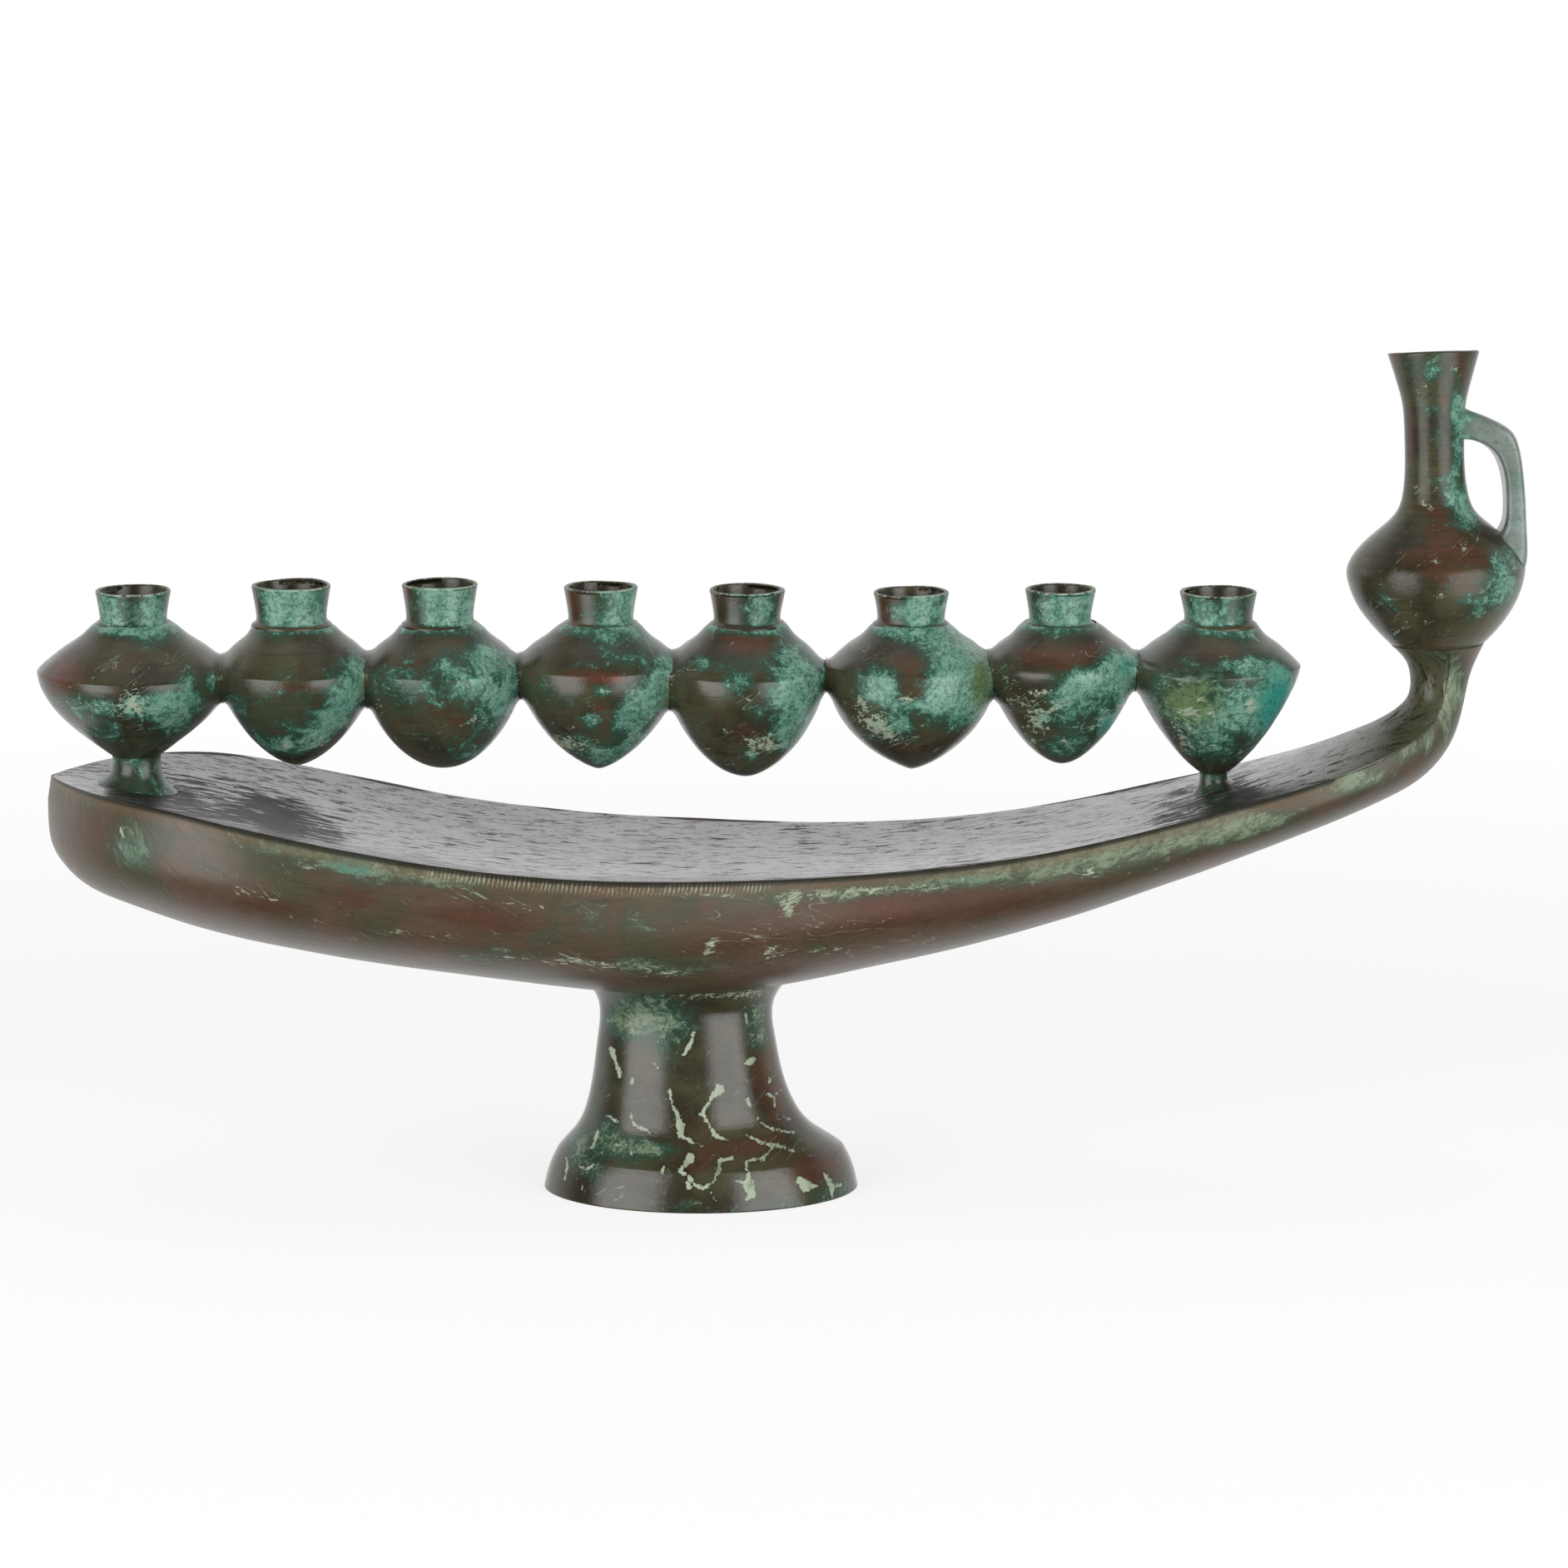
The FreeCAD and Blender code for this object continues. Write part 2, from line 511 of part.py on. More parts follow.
    def neck(self):
        """The flaring collar, with a spigot that enters the body."""
        rim = NECK_RIM_RADIUS * self.neck_width
        base = NECK_BASE_RADIUS * self.neck_width
        spigot = NECK_SPIGOT_RADIUS * self.neck_width
        bore = NECK_BORE_RADIUS * self.neck_width
        outline = profile([(base, 0.0), (rim, self.neck_height), (rim - NECK_RIM_WALL, self.neck_height),
                           (bore, -NECK_SPIGOT_LENGTH), (spigot, -NECK_SPIGOT_LENGTH), (spigot, 0.0), (base, 0.0)])
        collar = turned(lines(outline))
        collar.translate(self.place + self.neck_place)
        return collar


def meeting_plane(left, right):
    """The X where two neighbouring round bodies cut each other."""
    middle = (left.x + right.x) / 2
    return middle + (left.radius ** 2 - right.radius ** 2) / (2 * (right.x - left.x))


def urn_stem(outside, urn, radius, flare):
    """A turned stem with a flared base fitted to the deck, and spigots up and down."""
    x, top = urn.x, urn.foot_level
    level = deck_height(outside, x)
    waist = top - STEM_COLLAR
    knee = between(level, waist, 0.4)
    bend = between(radius, flare, 0.25)
    side = spline([V(radius, 0, waist), V(bend, 0, knee), V(flare, 0, level), V(flare, 0, level - HULL_WALL)])
    upper = lines([V(0, 0, level - HULL_WALL), V(0, 0, top), V(radius, 0, top), V(radius, 0, waist)])
    lower = lines([V(flare, 0, level - HULL_WALL), V(0, 0, level - HULL_WALL)])
    stem = turned(upper + [side] + lower)
    stem.translate(V(x, 0, 0))
    bottom = level - DECK_THICKNESS
    spigot = Part.makeCylinder(STEM_SPIGOT_RADIUS, top + STEM_SPIGOT_LENGTH - bottom, V(x, 0, bottom))
    return stem.cut(outside).fuse(spigot)


def jug_outline():
    """Outer points from the foot to the mouth, as radius and height."""
    rest = JUG_HEIGHT - JUG_BODY_LEVEL
    points = []
    for radius, height in JUG_LOWER_SHARES:
        points.append((between(JUG_FOOT_RADIUS, JUG_BODY_RADIUS, radius), height * JUG_BODY_LEVEL))
    for radius, height in JUG_SHOULDER_SHARES:
        points.append((between(JUG_NECK_RADIUS, JUG_BODY_RADIUS, radius), JUG_BODY_LEVEL + height * rest))
    for radius, height in JUG_NECK_SHARES:
        points.append((between(JUG_NECK_RADIUS, JUG_MOUTH_RADIUS, radius), JUG_BODY_LEVEL + height * rest))
    return points


def jug_form():
    """The jug's outer form, upright at the origin and not yet hollow, with its mouth cut askew."""
    outer = profile(jug_outline())
    foot = V(JUG_FOOT_RADIUS, 0, -OVERRUN)
    lip = outer[-1] + V(0, 0, JUG_MOUTH_RADIUS / 4)
    axis = [V(0, 0, lip.z), V(0, 0, foot.z)]
    form = turned(lines([foot, outer[0]]) + arcs(outer) + lines([outer[-1], lip] + axis + [foot]))
    return form.cut(mouth_cutter())


def mouth_cutter():
    """Everything above the mouth, whose plane falls towards the back."""
    reach = 4 * JUG_MOUTH_RADIUS
    space = Part.makeBox(reach, reach, reach, V(-reach / 2, -reach / 2, 0))
    space.Placement = FreeCAD.Placement(V(0, 0, JUG_HEIGHT), FreeCAD.Rotation(V(1, 0, 0), -JUG_MOUTH_SKEW_DEG))
    return space


def jug_hollow():
    """The jug's inside, from its floor to above its mouth."""
    inside = []
    for radius, height in jug_outline():
        thin = max(height - JUG_BODY_LEVEL, 0.0) / (JUG_HEIGHT - JUG_BODY_LEVEL)
        if height > JUG_FLOOR_LEVEL + JUG_WALL:
            inside.append((radius - between(JUG_WALL, JUG_MOUTH_WALL, thin), height))
    floor_edge = (inside[0][0] / 2, JUG_FLOOR_LEVEL)
    points = profile([floor_edge] + inside)
    top = V(points[-1].x, 0, JUG_HEIGHT + JUG_MOUTH_RADIUS)
    axis = [V(0, 0, top.z), V(0, 0, JUG_FLOOR_LEVEL), points[0]]
    return turned(lines(points + [top] + axis))


def jug_body(form):
    """The hollow jug, its foot dressed to the tail's end and socketed for the tail's spigot."""
    socket = Part.makeCylinder(TAIL_SPIGOT_RADIUS + BRAZE_GAP, TAIL_SPIGOT_LENGTH + BRAZE_GAP + OVERRUN,
                               V(0, 0, -OVERRUN))
    body = form.cut(jug_hollow()).cut(socket)
    body.Placement = jug_placement()
    reach = 4 * JUG_FOOT_RADIUS
    below = Part.makeBox(reach, reach, reach, V(-reach / 2, -reach / 2, -reach))
    below.Placement = FreeCAD.Placement(tail_end(), FreeCAD.Rotation(V(0, 1, 0), -JUG_LEAN_BOW_DEG))
    return body.cut(below)


def jug_handle(form):
    """The strap handle, its ends fitted to the jug's neck and shoulder."""
    def points(shares):
        return [V(x * HANDLE_REACH, -HANDLE_WIDTH / 2, z * HANDLE_TOP_LEVEL) for x, z in shares]

    outer, inner = points(HANDLE_OUTER_SHARES), points(HANDLE_INNER_SHARES)
    outline = [spline(outer)] + lines([outer[-1], inner[-1]]) + [spline(inner[::-1])] + lines([inner[0], outer[0]])
    strap = Part.Face(Part.Wire(outline)).extrude(V(0, HANDLE_WIDTH, 0))
    edges = [e for e in strap.Edges if e.BoundBox.YLength < BRAZE_GAP and e.Length > HANDLE_REACH]
    strap = strap.makeFillet(HANDLE_EDGE_RADIUS, edges).cut(form)
    strap.Placement = jug_placement()
    return strap


def build():
    """Every piece by its name."""
    stations = hull_stations()
    outside = hull_outside(stations)
    plate_space = deck_space(stations)
    stem_radii = [BOW_STEM_RADIUS] + [None] * (len(URN_SHARES) - 2) + [TAIL_STEM_RADIUS]
    urns = [Urn(shares, radius) for shares, radius in zip(URN_SHARES, stem_radii)]
    planes = [None] + [meeting_plane(a, b) for a, b in zip(urns, urns[1:])] + [None]
    jug = jug_form()

    parts = {
        "hull_shell": hull_shell(outside, stations, plate_space),
        "deck_plate": deck_plate(outside, plate_space, (urns[0].x, urns[-1].x)),
        "pedestal": pedestal(outside),
        "pedestal_bolt": pedestal_bolt(),
        "pedestal_washer": pedestal_washer(),
        "bow_urn_stem": urn_stem(outside, urns[0], BOW_STEM_RADIUS, BOW_STEM_FLARE),
        "tail_urn_stem": urn_stem(outside, urns[-1], TAIL_STEM_RADIUS, TAIL_STEM_FLARE),
        "jug_body": jug_body(jug),
        "jug_handle": jug_handle(jug),
    }
    for i, urn in enumerate(urns):
        parts[f"urn_{i + 1}_body"] = urn.body(planes[i], planes[i + 1])
        parts[f"urn_{i + 1}_neck"] = urn.neck()
    return parts


os.makedirs("parts", exist_ok=True)
for name, shape in build().items():
    shape.exportStep(f"parts/{name}.step")
    print(f"{name}: solids {len(shape.Solids)}, valid {shape.isValid()}, volume {shape.Volume:.0f}")
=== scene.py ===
"""The looks of a nine-light oil lamp in patinated brass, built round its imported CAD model. Metres, Z up."""

import math

import bpy
import numpy as np
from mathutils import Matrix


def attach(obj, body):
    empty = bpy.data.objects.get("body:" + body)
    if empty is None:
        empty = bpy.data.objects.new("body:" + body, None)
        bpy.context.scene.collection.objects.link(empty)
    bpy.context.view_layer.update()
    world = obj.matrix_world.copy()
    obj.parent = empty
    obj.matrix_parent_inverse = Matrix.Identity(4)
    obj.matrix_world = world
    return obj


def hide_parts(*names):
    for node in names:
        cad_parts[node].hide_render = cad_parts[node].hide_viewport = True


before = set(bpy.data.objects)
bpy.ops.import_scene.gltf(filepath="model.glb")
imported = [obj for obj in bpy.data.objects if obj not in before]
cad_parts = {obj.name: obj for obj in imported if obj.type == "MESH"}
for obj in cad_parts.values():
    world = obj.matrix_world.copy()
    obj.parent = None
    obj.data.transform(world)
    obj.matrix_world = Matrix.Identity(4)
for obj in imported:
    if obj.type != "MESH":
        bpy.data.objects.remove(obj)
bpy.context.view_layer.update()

bl_info = {
    "name": "Boat-shaped oil lamp",
    "version": (1, 0, 0),
    "blender": (4, 5, 0),
    "location": "View3D > Sidebar > Lamp",
    "description": "Builds a boat-shaped brass oil lamp with eight urns and a jug, and its studio",
    "category": "Add Mesh",
}


MM = 0.001
# A distance in millimetres that counts as far off, for lines and edges.
FAR = 9.0

# Tables in the same shares as the part's own source, so that each surface lies on its solid.
# Hull stations from bow to tail: deck X, deck Z, keel X, keel Z, half breadth, dish, side level, fullness.
HULL_STATIONS = np.array([
    (-0.4540, 1.542, -0.4595, 1.370, 0.070, 0.00, 0.10, 2.2),
    (-0.4480, 1.543, -0.4590, 1.206, 0.170, 0.05, 0.14, 2.3),
    (-0.4375, 1.543, -0.4562, 1.066, 0.315, 0.20, 0.18, 2.3),
    (-0.4235, 1.542, -0.4480, 0.936, 0.478, 0.40, 0.20, 2.3),
    (-0.4035, 1.536, -0.4320, 0.797, 0.640, 0.62, 0.22, 2.3),
    (-0.3755, 1.515, -0.4030, 0.672, 0.798, 0.82, 0.23, 2.3),
    (-0.3370, 1.461, -0.3610, 0.537, 0.934, 0.96, 0.24, 2.3),
    (-0.2870, 1.360, -0.3020, 0.392, 1.000, 1.00, 0.24, 2.3),
    (-0.2120, 1.202, -0.2200, 0.235, 0.984, 0.95, 0.24, 2.3),
    (-0.1170, 1.061, -0.1200, 0.097, 0.948, 0.85, 0.24, 2.3),
    (0.0000, 1.000, 0.0000, 0.000, 0.853, 0.70, 0.24, 2.3),
    (0.1170, 1.015, 0.1240, 0.190, 0.722, 0.50, 0.23, 2.3),
    (0.2350, 1.138, 0.2460, 0.512, 0.655, 0.25, 0.21, 2.3),
    (0.3280, 1.337, 0.3400, 0.835, 0.608, -0.05, 0.19, 2.3),
    (0.4080, 1.550, 0.4220, 1.150, 0.550, -0.60, 0.17, 2.3),
    (0.4640, 1.725, 0.4810, 1.397, 0.470, -1.20, 0.12, 2.2),
    (0.4960, 1.852, 0.5140, 1.600, 0.330, -1.70, 0.05, 2.1),
    (0.5135, 1.975, 0.5305, 1.850, 0.222, -2.10, -0.06, 2.0),
])
BOW_TIP = (-0.4569, 1.542)
TAIL_ROUNDS = np.array([(0.5200, 2.287, 0.652), (0.5203, 2.395, 0.766), (0.5178, 2.506, 1.0)])
TAIL_EDGE_SHARE = 0.20
# Urns: place, radius, belly depth, shoulder, shoulder power, belly power, roundness, neck height, width, offset.
URNS = np.array([
    (0.0000, 1.205, 1.100, 0.90, 1.14, 1.80, 1.08, 0.94, 1.00, -0.01),
    (0.1493, 1.010, 1.065, 0.86, 1.13, 1.54, 0.66, 1.10, 1.05, -0.12),
    (0.2848, 1.040, 1.095, 0.85, 1.13, 1.44, 0.50, 1.13, 1.01, -0.06),
    (0.4290, 1.020, 1.135, 0.80, 1.34, 1.79, 0.73, 1.05, 0.97, 0.09),
    (0.5653, 1.040, 1.165, 0.89, 1.13, 1.52, 0.58, 0.97, 1.00, 0.06),
    (0.7192, 1.046, 1.140, 0.80, 1.18, 2.30, 0.79, 0.90, 1.00, -0.02),
    (0.8590, 0.975, 1.076, 0.80, 1.54, 1.22, 0.57, 0.98, 0.93, -0.08),
    (1.0000, 1.059, 1.251, 0.80, 1.13, 1.33, 0.73, 0.91, 1.02, 0.09),
])
JUG_LOWER = np.array([(0.0, 0.0), (0.26, 0.15), (0.50, 0.31), (0.73, 0.50), (0.89, 0.70), (0.975, 0.87)])
JUG_SHOULDER = np.array([(1.0, 0.0), (0.92, 0.062), (0.70, 0.137), (0.38, 0.213), (0.14, 0.280),
                         (0.04, 0.360), (0.0, 0.480)])
JUG_NECK = np.array([(0.0, 0.640), (0.10, 0.770), (0.43, 0.865), (1.0, 1.0)])
HANDLE_OUTER = np.array([(0.20, 1.011), (0.49, 0.985), (0.70, 0.950), (0.86, 0.907), (0.935, 0.837),
                         (0.970, 0.713), (0.990, 0.595), (1.0, 0.438), (0.985, 0.337), (0.80, 0.213)])
HANDLE_INNER = np.array([(0.20, 0.893), (0.49, 0.863), (0.64, 0.820), (0.718, 0.764), (0.762, 0.663),
                         (0.762, 0.584), (0.735, 0.511), (0.52, 0.415)])
COLUMN = np.array([(1.0, 0.0), (0.79, 0.060), (0.59, 0.120), (0.42, 0.195), (0.30, 0.280), (0.20, 0.385),
                   (0.12, 0.510), (0.05, 0.670), (0.0, 0.830), (0.04, 0.920), (0.12, 0.975)])
PLINTH = np.array([(1.0, 0.0), (0.72, 0.40), (0.36, 0.75), (0.0, 1.0)])

# Sizes and colours that a user may change

def length(name, description, default):
    return bpy.props.FloatProperty(name=name, description=description, default=default, min=0.0,
                                   precision=5, unit="LENGTH")


def colour(name, description, default):
    return bpy.props.FloatVectorProperty(name=name, description=description, default=default, size=3,
                                         min=0.0, max=1.0, subtype="COLOR")


def factor(name, description, default, highest=1.0):
    return bpy.props.FloatProperty(name=name, description=description, default=default, min=0.0,
                                   max=highest, subtype="FACTOR")


class LampHullSizes(bpy.types.PropertyGroup):
    span: length("Length", "From the bow to the back of the tail", 0.341)
    depth: length("Depth", "From keel to deck edge over the pedestal", 0.0334)
    half_beam: length("Half beam", "Half of the deck's widest breadth", 0.0456)
    dish: length("Dish", "How deep the deck is dished at its widest", 0.0034)
    plate: length("Plate", "Thickness of the deck plate", 0.0022)
    edge: length("Edge", "How far the rounding of the deck's edge reaches", 0.0007)


class LampPedestalSizes(bpy.types.PropertyGroup):
    foot: length("Foot", "Half length of the foot", 0.0381)
    plinth: length("Plinth", "Half length at the plinth's upper edge", 0.0346)
    plinth_height: length("Plinth height", "Height of the plinth", 0.0096)
    column: length("Column", "Half length of the column's waist", 0.0209)
    height: length("Height", "From the table to the keel", 0.0496)
    offset: length("Offset", "How far the column stands towards the bow", 0.0035)
    rise: length("Crown rise", "How far the crown's rim climbs round the hull", 0.0036)
    wall: length("Wall", "Wall of the hollow foot", 0.0032)
    crown: length("Crown", "Solid metal above the hollow", 0.0100)
    oval: factor("Oval", "Depth of the oval as a share of its length", 0.75)


class LampUrnSizes(bpy.types.PropertyGroup):
    first: bpy.props.FloatProperty(name="First", description="Place of the first urn along X",
                                   default=-0.13524, precision=5, unit="LENGTH")
    row_length: length("Row length", "From the first urn's axis to the last one's", 0.25858)
    radius: length("Radius", "Mean radius of an urn", 0.01937)
    belly: length("Belly", "Mean depth of a belly below its widest level", 0.0224)
    shoulder: length("Shoulder", "Mean height of a shoulder", 0.0129)
    row: length("Row", "Height of the necks' seats above the table", 0.1385)
    wall: length("Wall", "Wall of an urn", 0.0024)
    seat: length("Seat", "Radius of the neck's seat", 0.0087)
    rim: length("Rim", "Radius of a neck's rim", 0.0090)
    base: length("Base", "Radius of a neck's base", 0.0078)
    neck: length("Neck", "Mean height of a neck", 0.0083)
    lip: length("Lip", "Wall of a neck at its rim", 0.0010)
    bore: length("Bore", "Radius of a neck's bore at its seat", 0.0060)
    braze: length("Braze", "How far the braze between two urns reaches", 0.0030)


class LampStemSizes(bpy.types.PropertyGroup):
    bow_radius: length("Bow stem", "Radius of the stem under the first urn", 0.0058)
    bow_flare: length("Bow flare", "Radius of its flared base", 0.0096)
    tail_radius: length("Tail stem", "Radius of the stem under the last urn", 0.0033)
    tail_flare: length("Tail flare", "Radius of its flared base", 0.0056)
    collar: length("Collar", "Straight length under an urn, before the flare", 0.0010)


class LampJugSizes(bpy.types.PropertyGroup):
    foot: length("Foot", "Radius of the jug's foot", 0.0111)
    body: length("Body", "Widest radius", 0.0212)
    level: length("Level", "Height of the widest level above the foot", 0.0177)
    neck: length("Neck", "Radius of the neck", 0.0072)
    mouth: length("Mouth", "Radius of the mouth", 0.0109)
    height: length("Height", "From foot to mouth", 0.0694)
    wall: length("Wall", "Wall of the body", 0.0018)
    lip: length("Lip", "Wall at the mouth", 0.0011)
    floor: length("Floor", "Level of the inside floor", 0.0065)
    lean: factor("Lean", "Lean to the bow, in degrees", 1.6, 20.0)
    lean_back: factor("Lean back", "Lean away from the front, in degrees", 3.5, 20.0)
    skew: factor("Skew", "How much lower the mouth is at its back, in degrees", 3.0, 20.0)
    strap: length("Strap", "Breadth of the handle's strap", 0.0130)
    reach: length("Reach", "From the jug's axis to the handle's outer face", 0.0214)
    strap_top: length("Strap top", "Level where the strap leaves the neck", 0.0555)


class LampPatina(bpy.types.PropertyGroup):
    # The deck's ground: partly its pale patina, partly a painted reflection of the white surroundings that the deck
    # shows at a grazing view; on the tail it gives way to olive.
    ash_and_sheen: colour("Ash", "Pale lavender grey of the deck", (0.270, 0.235, 0.258))
    metal: colour("Metal", "Dark waxed brass under the patina", (0.040, 0.033, 0.019))
    olive: colour("Olive", "Olive film", (0.080, 0.072, 0.038))
    hull: colour("Hull", "The hull's browner wax", (0.116, 0.072, 0.048))
    haze: colour("Haze", "Grey-green haze on the handle", (0.260, 0.320, 0.295))
    warm: colour("Warm", "Rubbed brown metal", (0.095, 0.045, 0.026))
    russet: colour("Russet", "Rubbed red-brown metal", (0.130, 0.050, 0.028))
    deep: colour("Deep green", "Dark green film", (0.026, 0.070, 0.045))
    fern: colour("Fern", "Dark verdigris round the lighter one", (0.040, 0.115, 0.074))
    gilt: colour("Gilt", "Golden brown along the deck's edge", (0.165, 0.105, 0.050))
    teal: colour("Verdigris", "Blue-green verdigris", (0.072, 0.230, 0.165))
    vivid: colour("Vivid", "Brightest blue-green", (0.030, 0.330, 0.265))
    mint: colour("Bloom", "Light crust of verdigris", (0.230, 0.440, 0.330))
    moss: colour("Moss", "Darkest green of the hull", (0.066, 0.082, 0.046))
    sage: colour("Sage", "Dull verdigris of the hull", (0.115, 0.150, 0.088))
    sage_light: colour("Light sage", "Its lighter crust", (0.235, 0.290, 0.185))
    lime: colour("Lime", "Yellow-green edge of the verdigris", (0.150, 0.220, 0.090))
    pale: colour("Pale", "Pale crust and scratches", (0.440, 0.510, 0.370))
    # Also the colour of the painted shade along the handle's corners and of the painted dark reflection on the deck by
    # the stems.
    soot_and_shade: colour("Soot", "Darkest film, in the hollows", (0.008, 0.009, 0.005))


class LampStudio(bpy.types.PropertyGroup):
    distance: length("Camera distance", "From the camera to the lamp's middle plane", 1.5)
    aim_x: length("Aim X", "Where the camera stands along X", 0.0202)
    aim_z: length("Aim Z", "Height of the point it looks at", 0.099)
    eye: length("Eye", "Height of the camera", 0.386)
    lens: factor("Lens", "Focal length in millimetres", 145.89, 400.0)
    panel_light: factor("Panels", "Radiance of each light panel", 3.9, 50.0)
    top_light: factor("Top", "Radiance of the overhead panel", 0.4, 50.0)
    air_light: factor("Air", "Light of the surroundings on matt surfaces", 0.26, 5.0)

# Shapes

def curve_through(knots, values, at):
    """Natural cubic curve: the second derivatives at the knots solve the usual three-diagonal system, and
    each span blends its end values with them. Values may have several columns."""
    values = np.asarray(values, float)
    step = np.diff(knots)
    system = np.eye(len(knots))
    inner = np.arange(1, len(knots) - 1)
    system[inner, inner - 1] = step[:-1]
    system[inner, inner] = 2 * (step[:-1] + step[1:])
    system[inner, inner + 1] = step[1:]
    slope = np.diff(values, axis=0) / step[:, None]
    right = np.zeros_like(values)
    right[1:-1] = 6 * np.diff(slope, axis=0)
    bend = np.linalg.solve(system, right)
    span = np.clip(np.searchsorted(knots, at) - 1, 0, len(step) - 1)
    width = step[span][:, None]
    after = (at - knots[span])[:, None] / width
    before = 1 - after
    return (before * values[span] + after * values[span + 1]
            + ((before ** 3 - before) * bend[span] + (after ** 3 - after) * bend[span + 1]) * width ** 2 / 6)


def smooth_line(points, count):
    """A line of points resampled evenly on the natural cubic curve through them."""
    points = np.asarray(points, float)
    knots = np.r_[0, np.cumsum(np.linalg.norm(np.diff(points, axis=0), axis=1))]
    fine = curve_through(knots, points, np.linspace(0, knots[-1], count * 8))
    run = np.r_[0, np.cumsum(np.linalg.norm(np.diff(fine, axis=0), axis=1))]
    even = np.linspace(0, run[-1], count)
    return np.stack([np.interp(even, run, fine[:, k]) for k in range(points.shape[1])], axis=1)


def uneven(points, wave, seed):
    """A smooth hand-made unevenness between -1 and 1: the mean of eight sine waves of about the same
    length, in seeded directions and phases."""
    draw = np.random.default_rng(seed)
    ways = draw.normal(size=(8, 3))
    ways /= np.linalg.norm(ways, axis=1)[:, None]
    lengths = wave * draw.uniform(0.7, 1.5, 8)
    phases = draw.uniform(0, 2 * math.pi, 8)
    return np.sin(points @ ways.T * (2 * math.pi / lengths) + phases).mean(axis=-1) * 1.8


def spots(points, table):
    """The sum of soft spots: each row gives a place in millimetres, the half widths along X and Z, and a
    weight, and falls off as exp(-d²/2) with the distance d counted in half widths, 20 mm along Y."""
    total = np.zeros(points.shape[:-1])
    for x, y, z, wide, high, weight in table:
        away = (points / MM - (x, y, z)) / (wide, 20.0, high)
        total += weight * np.exp(-0.5 * (away ** 2).sum(axis=-1))
    return total


def near_lines(points, lines):
    """The distance in millimetres from each point, seen from the front, to the nearest of the lines, less
    the line's own half width there."""
    best = np.full(points.shape[:-1], FAR)
    for line in lines:
        for (ax, az, aw), (bx, bz, bw) in zip(line, line[1:]):
            wayx, wayz = bx - ax, bz - az
            share = ((points[..., 0] - ax) * wayx + (points[..., 1] - az) * wayz) / (wayx ** 2 + wayz ** 2)
            share = np.clip(share, 0, 1)
            away = np.hypot(points[..., 0] - ax - share * wayx, points[..., 1] - az - share * wayz)
            best = np.minimum(best, away - aw - share * (bw - aw))
    return best


def turned(profile, sides):
    """Rings of a surface turned about Z: radius and height of each profile point, swept by the angle."""
    angle = np.linspace(0, 2 * math.pi, sides, endpoint=False)
    radius, height = profile[:, :1], profile[:, 1:2]
    return np.stack([radius * np.sin(angle), -radius * np.cos(angle),
                     np.broadcast_to(height, (len(profile), sides))], axis=-1)


def outward(rings, looped=False):
    """Unit normals of a ring surface: the cross product of its steps along and around."""
    around = np.roll(rings, -1, axis=1) - np.roll(rings, 1, axis=1)
    along = np.roll(rings, -1, axis=0) - np.roll(rings, 1, axis=0) if looped else np.gradient(rings, axis=0)
    normal = np.cross(around, along)
    return normal / np.maximum(np.linalg.norm(normal, axis=-1, keepdims=True), 1e-12)


def worn(points, waves, normals, fade=1.0):
    """The points moved along their normals by hand-made unevenness, as the sum of waves that each have a
    length, a seed and a height."""
    rise = sum(uneven(points, length, seed) * height for length, seed, height in waves) * fade
    return points + rise[..., None] * normals


def bump_at(value, middle, width):
    """A soft bump of height 1: exp(-d²), with d the distance from the middle counted in widths."""
    return np.exp(-((value - middle) / width) ** 2)


def skin(name, rings, body_of, slot, material, masks, looped=False, grain=None, **extras):
    """A closed mesh over rings of points, whose quads run ring by ring. A looped surface joins its last
    ring to its first, and any other is closed by a pole in the middle of each end ring. The masks fill the
    channels of "bloom", and "grain" holds the place that the patterns read."""
    rows, sides = rings.shape[:2]
    points = rings.reshape(-1, 3)
    index = np.arange(rows * sides).reshape(rows, sides)
    lower, upper = (index, np.roll(index, -1, axis=0)) if looped else (index[:-1], index[1:])
    quads = np.stack([lower, np.roll(lower, -1, axis=1), np.roll(upper, -1, axis=1), upper], axis=-1)
    faces = quads.reshape(-1, 4).tolist()
    if not looped:
        points = np.vstack([points, rings[0].mean(axis=0), rings[-1].mean(axis=0)])
        first, last = np.roll(index[0], -1), np.roll(index[-1], -1)
        low = np.stack([np.full(sides, rows * sides), first, index[0]], axis=-1)
        high = np.stack([np.full(sides, rows * sides + 1), index[-1], last], axis=-1)
        faces += np.vstack([low, high]).tolist()
    mesh = bpy.data.meshes.new(name)
    mesh.from_pydata(points, [], faces)
    mesh.polygons.foreach_set("use_smooth", np.ones(len(faces), bool))
    poles = len(points) - rows * sides
    bloom, place = np.zeros((len(points), 4)), points.copy()
    for k, mask in enumerate(masks):
        flat = np.broadcast_to(mask, (rows, sides)).reshape(-1)
        bloom[:, k] = np.r_[flat, np.full(poles, flat[-1])]
    if grain is not None:
        place[:rows * sides] = grain.reshape(-1, 3)
    layers = [("bloom", "FLOAT_COLOR", "color", bloom), ("grain", "FLOAT_VECTOR", "vector", place)]
    layers += [(key, "FLOAT", "value", np.r_[values.reshape(-1), np.zeros(poles)]) for key, values in extras.items()]
    for key, kind, field, values in layers:
        mesh.attributes.new(key, kind, "POINT").data.foreach_set(field, values.ravel())
    mesh.validate()
    piece = bpy.data.objects.new(name, mesh)
    bpy.context.scene.collection.objects.link(piece)
    mesh.materials.append(material)
    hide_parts(*body_of)
    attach(piece, "root")
    return piece


# Hull and deck

STATIONS, AROUND, ACROSS = 520, 120, 46
FLATTEST_DISH = 5e-5
HULL_WAVES = ((0.045, 5, 0.00018), (0.012, 6, 0.00004))
STILL_END = 0.008
TAIL_START, TAIL_FADE = 0.135, 0.03
EDGE_END, EDGE_FADE = 0.150, 0.015


